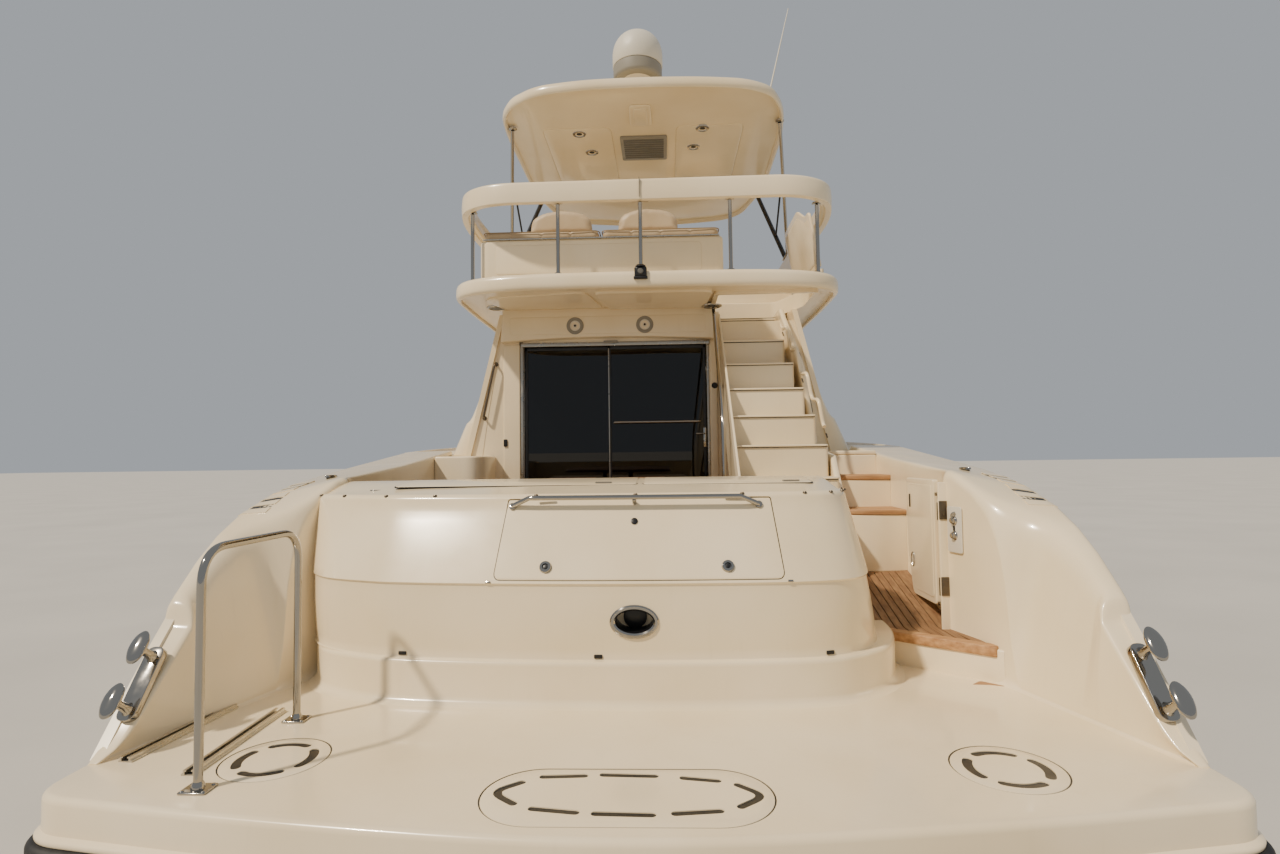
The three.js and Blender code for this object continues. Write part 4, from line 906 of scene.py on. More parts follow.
def panelY(x, z, key="upper"):
    # the transom's face at a place across and a height
    low, high, z0, z1 = ("crease", "crown", 1.046, 1.45) if key == "upper" else ("foot", "crease", 0.656, 1.03)
    ys = []
    for curve in (levels[low], levels[high]):
        ys.append(lineAt([p for p in curve if abs(p[0]) < 1.2 or p[1] < 1.5], x)[0])
    t = (z - z0) / (z1 - z0)
    off = transom["proud"] - 0.004 * t + 0.003 * sin(pi * max(0, min(1, t))) if key == "upper" else 0.004
    return aft(ys[0] + (ys[1] - ys[0]) * t) - off


hatch = {"low": 1.062, "high": 1.468, "halfLow": 0.765, "halfHigh": 0.727, "corner": 0.035, "cornerHigh": 0.01,
    "lip": 0.004, "lean": radians(25.8)}


def hatchGrid(grow, front, back, lip=0.0):
    # a panel under the transom's face: rows up the face, each a closed ring of its front and back
    z0, z1 = hatch["low"] - grow, hatch["high"] + grow
    edges = [0.0, 0.002, 0.006, 0.013, 0.022, 0.035]
    rows = [z0 + e for e in edges] + spread(z0 + 0.08, z1 - 0.08, 6) + [z1 - e for e in reversed(edges)]
    leanOut = Vector((0, -cos(hatch["lean"]), sin(hatch["lean"])))
    rings = []
    for z in rows:
        d = min(z - z0, z1 - z)
        r = grow + (hatch["corner"] if z - z0 < z1 - z else hatch["cornerHigh"])
        cut = r - sqrt(max(r * r - (r - d) ** 2, 0)) if d < r else 0.0
        half = hatch["halfLow"] + (hatch["halfHigh"] - hatch["halfLow"]) * (z - z0) / (z1 - z0) + grow - cut
        xs = [-half, -half + 0.003] + spread(-half + 0.02, half - 0.02, 25) + [half - 0.003, half]
        ring = []
        for x in xs:
            near = min(half - abs(x), d)
            out = front + lip * min(1.0, near / 0.003)
            ring.append(Vector((x, panelY(x, z), z)) + leanOut * out)
        ring += [Vector((x, panelY(x, z), z)) + leanOut * back for x in reversed(xs)]
        rings.append(ring)
    return solid(rings)


def onFace(x, z, key="upper", out=0.0):
    # a frame on the transom's face: origin, across, up
    here = Vector((x, panelY(x, z, key), z))
    across = (Vector((x + 0.02, panelY(x + 0.02, z, key), z)) - Vector((x - 0.02, panelY(x - 0.02, z, key),
        z))).normalized()
    up = (Vector((x, panelY(x, z + 0.02, key), z + 0.02)) - Vector((x, panelY(x, z - 0.02, key),
        z - 0.02))).normalized()
    return here + across.cross(up) * out, across, up


def disc(r, low, high, edge=0.002, sides=28):
    return plate(circle(r, r, sides), low, high, edge, 2)


def ovalRing(a, b, wide, low, high, sides=36):
    # a flat oval flange with a rounded face, half axes a and b of its outer edge
    rings = []
    for t in turns(sides):
        c, s = cos(t), sin(t)
        n = Vector((c / a, s / b)).normalized()
        section = [(0.0, low), (0.0, low + (high - low) * 0.55), (-wide * 0.25, high), (-wide * 0.7, high),
            (-wide, low + (high - low) * 0.4), (-wide, low)]
        rings.append([(a * c + n.x * o, b * s + n.y * o, z) for o, z in section])
    return skin(rings + rings[:1])


def makeTransom():
    count = len(levels["ledge"])
    body = newPiece("transomPanel", solid([transomColumn(i) for i in range(count)]), sharp=45)
    carve(body, hatchGrid(0.004, 0.06, -0.042))
    carve(body, hatchGrid(-0.045, 0.0, -0.3))
    cableHole = onFace(-0.02, 0.848, "lower")
    carve(body, inPlane(plate(circle(0.105, 0.066, 32), -0.12, 0.03, 0.001, 1), *cableHole))
    stand(body, "transom_moulding")
    panel = newPiece("hatchPanel", hatchGrid(0.0, 0.0, -0.034, hatch["lip"]), gelcoat, "transom_hatch")
    stand(panel, "transom_hatch")
    ring = newPiece("hatchSeal", hatchGrid(0.0035, -0.002, -0.04), blackPlastic)
    carve(ring, hatchGrid(0.0006, 0.05, -0.08))
    # handle: one bent tube that stands off the face and runs down to it at both ends
    rise = lambda x: 0.062 - 0.05 * max(0.0, (abs(x + 0.02) - 0.575) / 0.107)
    line = [onFace(x, 1.452 - 0.022 * max(0.0, (abs(x + 0.02) - 0.575) / 0.107), out=rise(x))[0] for x in
        [-0.702, -0.66, -0.62, -0.595] + spread(-0.56, 0.52, 9) + [0.555, 0.58, 0.62, 0.662]]
    handle = [pipe(line, 0.0135, 14)]
    for x, z, r, tall in ((-0.7, 1.43, 0.02, 0.014), (0.66, 1.43, 0.02, 0.014), (-0.02, 1.446, 0.012, 0.058)):
        handle.append(inPlane(disc(r, -0.002, tall), *onFace(x, z, out=0.002)))
    newPiece("hatchHandle", handle, steel, "transom_hatch")
    locks = []
    lockAt, r = ((-0.487, 1.124), (0.471, 1.124)), 0.034
    for x, z in lockAt:
        lock = lathe([(0, 0.003), (r * 0.42, 0.003), (r * 0.5, 0.012), (r * 0.88, 0.012), (r, 0.0), (r, -0.004),
            (0, -0.004)])
        locks.append(inPlane(lock, *onFace(x, z, out=hatch["lip"])))
    newPiece("hatchLocks", locks, steel, "transom_hatch")
    slots = [inPlane(disc(0.0125, 0.002, 0.0055, 0.001, 16), *onFace(x, z, out=0.0045)) for x, z in lockAt]
    slots.append(inPlane(disc(0.019, 0.001, 0.005, 0.001, 24), *onFace(-0.02, 1.35, out=0.0045)))
    newPiece("lockSlots", slots, blackPlastic, "transom_hatch")
    hinges = []
    up = Vector((0, sin(hatch["lean"]), cos(hatch["lean"])))
    for x in (-0.52, 0.52):
        tube = rod(0.0072, -0.048, 0.048, 14)
        hinges.append(inPlane(tube, (x, -6.8956, 1.481), up, alongX.cross(up)))
    newPiece("hatchHinges", hinges, steel, "transom_hatch")
    # cable fairlead: a polished oval flange with four screws round a dark sleeve
    flange = [inPlane(ovalRing(0.128, 0.088, 0.028, -0.002, 0.012), *cableHole)]
    for t in (35, 145, 215, 325):
        x, z = 0.117 * cos(radians(t)), 0.078 * sin(radians(t))
        flange.append(inPlane(shifted(disc(0.005, 0.008, 0.0125, 0.001, 10), x, z), *cableHole))
    newPiece("cableFairlead", flange, steel)
    sleeve = joinParts(ovalRing(0.104, 0.065, 0.006, -0.11, 0.004), disc(0.062, -0.115, -0.1))
    newPiece("cableSleeve", inPlane(sleeve, *cableHole), blackPlastic)
    drains = [inPlane(boxPart(-0.022, 0.022, -0.01, 0.01, -0.004, 0.003, 0.002), *onFace(x, 0.668, "lower")) for x
        in (-1.27, -0.21, 1.0)]
    newPiece("ledgeDrains", drains, blackPlastic)
    studs = []
    for i in range(6, len(levels["crown"]) - 6, 8):
        p = Vector(levels["crown"][i])
        studs.append(shifted(lathe([(0, 0.006), (0.008, 0.006), (0.012, 0.0), (0.012, -0.006), (0, -0.006)], 14),
            p.x, aft(p.y) + 0.012, 1.494))
    newPiece("coverStuds", studs, bronzeAndPaintedReflection)
    tabs = [inPlane(boxPart(-0.014, 0.014, -0.006, 0.006, 0.0, 0.006, 0.002), *onFace(x, 1.05)) for x in
        (-0.79, 0.79)]
    newPiece("hatchStops", tabs, steel)


def topFairlead(x, d, z, long, wide, turn=0.0, name="fairlead"):
    # an oval deck fairlead: polished lip, dark throat
    at = (Vector((x, aft(d), z)), Vector((cos(turn), sin(turn), 0)), Vector((-sin(turn), cos(turn), 0)))
    newPiece(name, inPlane(ovalRing(long, wide, 0.014, -0.006, 0.008), *at), steel)
    throat = plate(circle(long - 0.01, wide - 0.01), -0.03, 0.001, 0.001, 1)
    newPiece(name + "Throat", inPlane(throat, *at), blackPlastic)


makeTransom()
print("transom and hatch made")


# Passage beside the transom: teak on a moulded step, and the riser up to the cockpit

passage = {"plan": [(1.3, 2.885), (1.3, 2.185), (1.525, 2.185), (1.525, 2.035), (2.012, 1.63), (1.985, 1.74),
    (1.945, 1.9), (1.945, 2.885)], "top": 0.615, "board": 0.012}


def makePassage():
    outline = inPlan(passage["plan"])
    stand(newPiece("passageStep", plate(outline, 0.4, passage["top"] - passage["board"], 0.012, 4)),
        "passage_floor", slot="deck_gelcoat")
    # teak from the nosing up to the cockpit's sole: strips that run fore and aft, a border along the wall
    ramp0, ramp1, far = 2.13, 2.94, 3.25

    def rampZ(d):
        t = shareOf(d, ramp0, ramp1)
        return passage["top"] + (soleTop + 0.012 - passage["top"]) * t

    right = lambda d: 1.945 if d > 2.0 else 1.985 - (d - 1.66) * 0.118
    slope = (1.652 - 2.03) / (1.985 - 1.528)
    front = lambda x: 2.03 + (x - 1.528) * slope

    def left(d):
        return 1.31 if d > 2.189 else 1.528 if d > 2.03 else 1.528 + (d - 2.03) / slope

    base = []
    for d in (1.7, 1.84, 2.03, ramp0, 2.188, 2.192, 2.55, ramp1, far + 0.01):
        low, high = 0.58, rampZ(d) - 0.007
        x0, x1 = left(d) + 0.004, right(d) - 0.004
        base.append([(x0, aft(d), low), (x1, aft(d), low), (x1, aft(d), high), (x0, aft(d), high)])
    newPiece("passageCaulk", solid(base), rubber)

    def strip(lineA, lineB, lift=0.0):
        # a plank between two edges given as (x, d), its top edges eased
        rings = []
        for (xa, da), (xb, db) in zip(lineA, lineB):
            za, zb, e = rampZ(da) + lift, rampZ(db) + lift, 0.0013
            rings.append([(xa, aft(da), za - 0.012), (xa, aft(da), za - e), (xa + e, aft(da), za),
                (xb - e, aft(db), zb), (xb, aft(db), zb - e), (xb, aft(db), zb - 0.012)])
        return solid(rings)

    planks = []
    wide, joint, border = 0.053, 0.006, 0.062
    for k in range(-4, 7):
        a = 1.53 + wide * k
        edges = []
        for x in (a, a + wide - joint):
            near = 2.194 if k < 0 else front(x) + 0.088
            edges.append([(x, near), (x, max(ramp0, near + 0.004)), (x, max(2.45, near + 0.01)), (x, ramp1),
                (x, far)])
        planks.append(strip(*edges))
    places = (1.755, ramp0, 2.45, ramp1, far)
    planks.append(strip([(right(d) - border, d + (0.052 if d < 1.8 else 0.0)) for d in places],
        [(right(d) - 0.003, d) for d in places], 0.001))
    newPiece("passageTeak", planks, teakEdge)
    a, b = Vector((1.528, aft(2.03), 0)), Vector((1.985, aft(1.652), 0))
    along = (b - a).normalized()
    nose = shifted(boxPart(-0.045, (b - a).length, -0.012, 0.068, 0.56, passage["top"] + 0.003, 0.007))
    newPiece("passageNosing", inPlane(nose, a, along, Vector((-along.y, along.x, 0))), teakNosing)


def makeGate():
    # the leaf rests open against the coaming, on two bronze hinges
    hinge = (1.87, -6.28)
    leaf = bends([(2.154, 0.745, 0.03), (2.56, 0.745, 0.05), (2.638, 1.045, 0.07), (2.652, 1.535, 0.04),
        (2.154, 1.535, 0.02)], 6)
    body = inPlane(plate(leaf, 0, 0.036, 0.006), (1.852, aftEdge, 0), alongY)
    stand(newPiece("gateLeaf", body, gelcoat, "stern_gate"), "stern_gate")
    rim = bends([(2.185, 0.785, 0.03), (2.53, 0.785, 0.05), (2.602, 1.055, 0.07), (2.614, 1.498, 0.04),
        (2.185, 1.498, 0.02)], 6)
    raised = inPlane(plate(rim, 0, 0.004, 0.003), (1.849, aftEdge, 0), alongY)
    newPiece("gatePanel", raised, gelcoat, "stern_gate")
    barrels = [shifted(rod(0.011, 0, 0.11, 14), *hinge, z - 0.008) for z in (0.82, 1.29)]
    newPiece("gateHinges", barrels, bronzeAndPaintedReflection, "stern_gate")
    pin = shifted(rod(0.007, 0, 0.65, 12), *hinge, 0.78)
    newPiece("gatePin", pin, gelcoat, "stern_gate")
    fixed = [boxPart(1.85, 1.898, -6.3415, -6.334, z, z + 0.115, 0.002) for z in (0.82, 1.29)]
    fixed += [inPlane(disc(0.0055, 0.0, 0.002, 0.0005, 12), (x, -6.3414, z + h)) for z in (0.82, 1.29) for x in
        (1.862, 1.888) for h in (0.02, 0.055, 0.09)]
    newPiece("gateHingePlates", fixed, bronzeAndPaintedReflection)
    post = bends([(1.848, -6.335, 0.01), (1.848, -6.322, 0.004), (1.89, -6.3, 0.004), (1.89, -6.235, 0.004),
        (1.97, -6.235, 0.004), (1.97, -6.335, 0.004)], 3)
    newPiece("gatePost", plate(post, 0.6, 1.52, 0.004))
    lugs = [shifted(lathe([(0, 0), (0.02, 0), (0.022, 0.004), (0.022, 0.02), (0, 0.024)], 18), *hinge, z) for z in
        (0.752, 1.434)]
    lugs += [boxPart(1.87, 1.97, -6.3, -6.26, z, z + 0.022, 0.003) for z in (0.753, 1.435)]
    newPiece("gateLugs", lugs, steel)
    slot = inPlane(boxPart(-0.012, 0.012, -0.045, 0.045, -0.001, 0.003, 0.002), (1.849, -5.83, 1.38), -alongY)
    newPiece("gateLatchSlot", slot, blackPlastic, "stern_gate")
    eye = inPlane(ovalRing(0.028, 0.05, 0.008, -0.001, 0.005), (1.849, -5.86, 0.98), -alongY)
    newPiece("gateEye", eye, steel, "stern_gate")


def makeValvePanel():
    # recessed panel for the deck shower on the wall before the gate, with a mixer and a hose spout
    face = wingFace(1.985)
    origin, across = Vector((face - 0.004, aft(1.985), 1.235)), Vector((0.265, -1, 0)).normalized()
    up = Vector((0, 0, 1))
    frameShape = oblong(-0.065, 0.065, -0.14, 0.14, 0.015, 4)
    newPiece("showerPanel", inPlane(plate(frameShape, 0, 0.009, 0.003), origin, across, up), whitePlastic)
    parts = []
    for z in (0.055, -0.035):
        knob = lathe([(0, 0.026), (0.012, 0.026), (0.017, 0.022), (0.019, 0.012), (0.026, 0.008), (0.03, 0.0),
            (0, 0.0)], 20)
        parts.append(inPlane(shifted(knob, 0.0, z, 0.008), origin, across, up))
    parts.append(inPlane(bentPipe([(0, 0.055, 0.02), (0, 0.095, 0.028), (0.018, 0.105, 0.014)], 0.007, 0.02),
        origin, across, up))
    newPiece("showerValves", parts, steel)
    dark = inPlane(boxPart(-0.008, 0.008, -0.006, 0.022, 0.0085, 0.012, 0.001), origin, across, up)
    newPiece("showerLabelPlate", dark, blackPlastic)


sideSteps = {"steps": [(2.9, 1.29), (3.24, 1.54), (3.6, 1.74)], "left": 1.5, "right": 1.945, "board": 0.036}


def makeSideSteps():
    # moulded steps from the cockpit up to the side deck; the lower two treads carry a curved teak board
    parts, boards = [], []
    count = len(sideSteps["steps"])
    for i, (d, z) in enumerate(sideSteps["steps"]):
        far = sideSteps["steps"][i + 1][0] + 0.02 if i + 1 < count else 4.388
        x0, x1 = sideSteps["left"], sideSteps["right"]
        outline = bends([(x0, aft(d) + 0.04, 0.05), (x0 + 0.2, aft(d), 0.2), (x1, aft(d) + 0.03, 0.003),
            (x1, aft(far), 0.003), (x0, aft(far), 0.003)], 6)
        parts.append(plate(outline, soleTop, z - sideSteps["board"], 0.012, 4))
        if i < 2:
            board = bends([(x0 + 0.012, aft(d) + 0.035, 0.05), (x0 + 0.2, aft(d) - 0.006, 0.2),
                (x1, aft(d) + 0.02, 0.003), (x1, aft(far), 0.003), (x0 + 0.012, aft(far), 0.003)], 6)
            boards.append(plate(board, z - sideSteps["board"], z, 0.006, 3))
        else:
            parts.append(plate(outline, z - sideSteps["board"], z, 0.01, 3))
    stand(newPiece("sideStepBody", parts), "side_steps")
    newPiece("sideStepBoards", boards, teakNosing)


bitts = {"at": (2.268, 0.826, 0.69), "slope": radians(53), "apart": 0.24, "high": 0.125}


def makeBitts():
    for side, name in bothSides:
        x, d, z = bitts["at"]
        along = Vector((0, cos(bitts["slope"]), sin(bitts["slope"])))
        across = Vector((1, 0, 0))
        origin = Vector((side * x, aft(d), z))
        parts = [plate(oblong(-0.042, 0.042, -0.17, 0.17, 0.04, 6), -0.03, 0.01, 0.004)]
        for v in (-bitts["apart"] / 2, bitts["apart"] / 2):
            rings = []
            profile = [(0.03, 0.01), (0.022, 0.022), (0.019, 0.05), (0.02, 0.085), (0.028, 0.1), (0.06, 0.108),
                (0.076, 0.116), (0.078, 0.124), (0.068, 0.133), (0.04, 0.139), (0.001, 0.141)]
            for r, h in profile:
                narrow = 0.75 if h < 0.1 else 0.52
                rings.append([(r * narrow * cos(t), v + r * sin(t), h) for t in turns(28)])
            parts.append(solid(rings))
        shape = inPlane(joinParts(*parts), origin, across, along)
        stand(newPiece(name + "Bitts", shape, steel), "bitts_" + name)


def makeGrabRail():
    x, d0, d1 = -1.69, 0.381, 1.105
    hoop = bentPipe([(x, aft(d0), 0.424), (x, aft(d0), 1.352), (x, aft(d1), 1.352), (x, aft(d1), 0.424)], 0.0175,
        0.15, 18, 10)
    feet = []
    for d in (d0, d1):
        feet.append(shifted(boxPart(-0.055, 0.055, -0.045, 0.045, 0.0, 0.008, 0.003), x, aft(d), 0.421))
        feet.append(shifted(lathe([(0, 0.008), (0.026, 0.008), (0.025, 0.02), (0.018, 0.034), (0, 0.034)], 20), x,
            aft(d), 0.421))
        for u, v in ((a, b) for a in (-0.042, 0.042) for b in (-0.032, 0.032)):
            feet.append(shifted(lathe([(0, 0.0125), (0.006, 0.0115), (0.009, 0.008), (0, 0.008)], 12), x + u,
                aft(d) + v, 0.421))
    stand(newPiece("grabHoop", [hoop, *feet], steel), "grab_rail")
    # chocks for a tender: two channels let into the platform, open upwards
    for i, (a, b) in enumerate((((-2.179, 0.625), (-2.12, 1.275)), ((-1.812, 0.5), (-1.835, 1.215)))):
        start, end = Vector((a[0], aft(a[1]), 0.4205)), Vector((b[0], aft(b[1]), 0.4205))
        along = (end - start).normalized()
        length = (end - start).length
        half = [(-0.032, 0.0), (-0.032, 0.007), (-0.024, 0.01), (-0.024, 0.022), (-0.01, 0.022), (-0.01, 0.017),
            (-0.017, 0.017), (-0.017, 0.004)]
        rings = [[(u, v, h) for u, h in half + [(-u, h) for u, h in reversed(half)]] for v in (0.0, length)]
        across = Vector((along.y, -along.x, 0))
        track = inPlane(solid(rings), start, across, along)
        screws = [inPlane(shifted(lathe([(0, 0.0095), (0.0045, 0.009), (0.006, 0.006), (0, 0.006)], 10), s * 0.0275,
            v, 0.0), start, across, along) for v in spread(0.05, length - 0.05, 6) for s in (-1, 1)]
        newPiece("tenderTrack" + str(i + 1), [track, *screws], aluminium)
        dark = inPlane(shifted(boxPart(-0.016, 0.016, 0.004, length - 0.004, 0.0, 0.0052, 0.001)), start,
            across, along)
        newPiece("trackFloor" + str(i + 1), dark, blackPlastic)


def makeSternFittings():
    for x, d, z, turn in ((-1.6, 1.83, 1.516, 0.2), (1.115, 2.03, 1.535, -0.3)):
        topFairlead(x, d, z, 0.04, 0.022, turn, "lockerEye" + ("Port" if x < 0 else "Starboard"))
    for side, name in capitalSides:
        topFairlead(side * 2.17, 2.42, 1.5985, 0.075, 0.026, pi / 2, "coamingFairlead" + name)

    def patch(side, d0, d1, low, high):
        # a strip of the engine room's air intake, across the wing's outer shoulder
        rings = []
        for d in spread(d0, d1, 4):
            half = sheerAt(aft(d))[0] + 0.004
            xs = spread(half - 0.012, half - 0.175, 7)
            ring = [(side * x, aft(d), wingTop(x, d) + high) for x in xs]
            rings.append(ring + [(side * x, aft(d), wingTop(x, d) + low) for x in reversed(xs)])
        return solid(rings)

    for side, name in capitalSides:
        # a black sheet under the slats: painted shade in the gaps of the air intake
        newPiece("louvreShadeSheet" + name, patch(side, 1.7, 2.3, -0.01, 0.0012), blackPlastic)
        slats = [patch(side, 1.695 + 0.11 * k, 1.695 + 0.11 * k + 0.06, -0.01, 0.005) for k in range(6)]
        newPiece("louvreSlats" + name, slats)
    # covers of the two lockers in the transom's top, each with a seam and a flush latch
    seam = 0.006
    for name, x0, x1, x in (("Port", -1.48, -0.02, -0.22), ("Starboard", 0.02, 1.02, 0.9)):
        outline = oblong(x0, x1, aft(1.8), aft(2.14), 0.03, 4)
        points, faces = plate(outline, -0.004, 0.004, 0.003)
        newPiece("lockerLid" + name, ([(u, v, h + lockerZ(v)) for u, v, h in points], faces))
        points, faces = plate(outline, -seam, 0.0008, 0.001)
        grown = [(u + (seam if u > (x0 + x1) / 2 else -seam), v + (seam if v > aft(1.97) else -seam),
            h + lockerZ(v)) for u, v, h in points]
        newPiece("lockerSeam" + name, (grown, faces), blackPlastic)
        latch = shifted(boxPart(-0.05, 0.05, -0.014, 0.014, 0.003, 0.011, 0.003), x, aft(1.845), lockerZ(aft(1.845)))
        newPiece("lockerLatch" + name, latch, steel)
    # a chip in the platform's gelcoat near the teak, worn at the berth
    chip = bends([(1.832, 1.628, 0.01), (1.9, 1.69, 0.02), (2.004, 1.592, 0.01), (1.92, 1.622, 0.02)], 5)
    newPiece("gelcoatChip", plate(inPlan(chip), 0.4195, 0.4212, 0.0006, 1), bareLaminate)
    topFairlead(-2.02, 1.66, 0.4215, 0.052, 0.038, 0.3, "platformDrain")


def lockerZ(y):
    # height of the transom's top surface behind the crown
    t = max(0.0, min(1.0, (y - aft(transom["frontD"])) / (transom["backD"] - transom["frontD"])))
    return transom["crownZ"] + (transom["topZ"] - transom["crownZ"]) * sin(t * pi / 2) + 0.0005


makePassage()
makeGate()
makeValvePanel()
makeSideSteps()
makeBitts()
makeGrabRail()
makeSternFittings()
print("stern fittings made")


# Decks forward of the cockpit: side decks beside the house and the foredeck with its coachroof

deckShape = {"toe": 0.045, "toeWide": 0.045, "camber": 0.03}
houseFoot = [(1.85, 4.36), (1.85, 6.5), (1.78, 8.6), (1.48, 10.1), (0.8, 10.9), (0.0, 11.1)]
houseHead = [(1.45, 4.36), (1.45, 6.4), (1.4, 7.9), (1.18, 8.7), (0.62, 9.08), (0.0, 9.18)]


def deckEdgeLine(y):
    # the moulding's outer profile from its skirt to the deck inside the toe rail, as (x, z)
    half, top = sheerAt(y)
    e = half + 0.004
    wide, toe = deckShape["toeWide"], deckShape["toe"]
    return bends([(e - 0.03, top - 0.16, 0.002), (e, top - 0.16, 0.004), (e, top, 0.01),
        (e - 0.02, top + toe, 0.012), (e - wide, top + toe, 0.012), (e - wide - 0.015, top + 0.004, 0.015),
        (max(e - wide - 0.12, 0.01), top + 0.006, 0.01)], 4, closed=False)


def houseWidth(y):
    return lineAt([(aft(d), x) for x, d in houseFoot[:5]], y)[0]


def makeDecks():
    for side, name in bothSides:
        rings = []
        for y in spread(-4.02, 2.55, 44):
            line = deckEdgeLine(y)
            top = line[-1][1]
            inner = houseWidth(y) - 0.1
            inner = min(inner, line[-1][0] - 0.05)
            line = line + [(inner + 0.1, top + 0.012), (inner, top + 0.012), (inner, top - 0.05),
                (line[0][0], top - 0.05)]
            rings.append([(side * x, y, z) for x, z in line])
        stand(newPiece(name + "SideDeck", solid(rings)), "deck")
        grip = []
        for y in spread(-3.95, 2.5, 40):
            half, top = sheerAt(y)
            inner = houseWidth(y) + 0.03
            z = top + 0.0145
            grip.append([(side * (half - 0.12), y, z), (side * (half - 0.125), y, z + 0.002),
                (side * inner, y, z + 0.002), (side * inner, y, z)])
        newPiece(name + "SideDeckGrip", solid(grip), nonSkid)
    rings = []
    for y in spread(2.5, 7.6, 34) + [7.85, 8.02, 8.12, 8.18]:
        line = deckEdgeLine(y)
        high = line[-1][1]
        wide = line[-1][0]
        crown = [(wide * (1 - t), high + deckShape["camber"] * (1 - (1 - t) ** 2)) for t in (0.25, 0.5, 0.75, 1.0)]
        half = line + crown
        ring = [(x, y, z) for x, z in half] + [(-x, y, z) for x, z in half[-2::-1]]
        under = high - 0.1
        ring += [(-line[0][0], y, under), (line[0][0], y, under)]
        rings.append(ring)
    stand(newPiece("foredeck", solid(rings)), "deck")
    # coachroof: a low crowned moulding that the sunpad and the hatch sit on
    foot = [(1.25, 11.0), (1.22, 11.6), (1.12, 12.6), (0.9, 13.6), (0.55, 14.25), (0.0, 14.5)]
    head = [(1.06, 11.0), (1.03, 11.6), (0.93, 12.5), (0.73, 13.4), (0.42, 13.85), (0.0, 14.02)]

    def planLine(rows, z, inset=0.0, steps=6):
        line = through(inPlan(rows), steps)
        near = [(max(x - inset, 0.0), y - inset * 0.6) for x, y in line]
        return mirrored(near, z)

    levelRings = [planLine(foot, 1.98), planLine(foot, 2.06)]
    for t in (0.25, 0.5, 0.75, 0.9):
        levelRings.append(planLine(between(foot, head, t), 2.06 + 0.325 * t ** 0.85))
    levelRings += [planLine(head, 2.388, 0.01), planLine(head, 2.396, 0.04), planLine(head, 2.3995, 0.1)]
    roof = solid(levelRings)
    stand(newPiece("coachroof", roof), "deck")


makeDecks()
print("decks made")


# Cockpit furniture

def makeCockpit():
    boards = inPlan([(-1.94, 2.215), (1.29, 2.215), (1.29, 2.9), (1.94, 2.9), (1.94, 4.32), (-1.94, 4.32)])
    stand(newPiece("soleBoards", plate(boards, soleTop - 0.055, soleTop, 0.002), teak), "cockpit_sole", slot="teak")
    base = bends(inPlan([(-1.495, 2.195, 0.02), (0.685, 2.195, 0.02), (0.685, 2.755, 0.06), (-1.495, 2.755, 0.06)]),
        5)
    front = []
    for x0, x1 in ((-1.38, -0.46), (-0.38, 0.56)):
        points, faces = plate(oblong(x0, x1, 0.9, 1.16, 0.04, 4), -0.002, 0.006, 0.004)
        front.append(([(a, aft(2.7575) + c, b) for a, b, c in points], faces))
    kick = plate(bends(inPlan([(-1.47, 2.2, 0.02), (0.66, 2.2, 0.02), (0.66, 2.69, 0.04), (-1.47, 2.69, 0.04)]),
        4), soleTop + 0.001, 0.9, 0.004)
    stand(newPiece("benchMoulding", [plate(base, 0.89, 1.228, 0.02, 5), kick, *front]), "cockpit_bench")
    pulls = [inPlane(ovalRing(0.035, 0.018, 0.008, 0.004, 0.01), (x, aft(2.7575), 1.03)) for x in (-0.92, 0.09)]
    newPiece("benchLatches", pulls, steel)
    x, d = -0.35, 3.35
    top = oblong(x - 0.6, x + 0.6, aft(d - 0.33), aft(d + 0.33), 0.08, 6)
    inner = [(x + (p[0] - x) * 0.93, aft(d) + (p[1] - aft(d)) * 0.88) for p in top]
    stand(newPiece("tableTop", plate(top, 1.503, 1.53, 0.008, 4), cherry), "cockpit_table", slot="teak")
    newPiece("tableInlay", plate(inner, 1.5285, 1.532, 0.0015, 2), teakAcross)
    fiddles = [boxPart(x + a, x + a + 0.4, aft(d) + c, aft(d) + c + 0.018, 1.529, 1.535, 0.003) for c in
        (-0.318, 0.3) for a in (-0.5, 0.1)]
    newPiece("tableFiddle", fiddles, cherry)
    column = shifted(lathe([(0, 0.832), (0.19, 0.832), (0.188, 0.842), (0.15, 0.852), (0.07, 0.872), (0.05, 0.9),
        (0.045, 1.17), (0.055, 1.18), (0.055, 1.2), (0.038, 1.21), (0.038, 1.46), (0.09, 1.49), (0.15, 1.495),
        (0.15, 1.504), (0, 1.504)], 36), x, aft(d))
    newPiece("tablePedestal", column, steel)


makeCockpit()


# Bulkhead with the saloon doors, the speakers' fascia and the two rounded corners of the house

bulk = {"y": -4.01, "x0": -1.218, "x1": 0.569, "top": 2.81, "foot": 0.862, "outer": [(1.735, 1.985), (1.8, 1.955),
    (1.9, 1.91), (2.0, 1.868), (2.065, 1.838), (2.085, 1.812), (2.12, 1.785), (2.247, 1.727), (2.5, 1.632),
    (2.736, 1.548), (2.95, 1.485), (3.125, 1.44)], "inner": [(1.735, 1.63), (2.17, 1.567), (2.625, 1.487),
    (2.83, 1.466), (3.125, 1.4)]}


def houseHalf(z):
    return 1.85 - (z - 1.5) * 0.2462


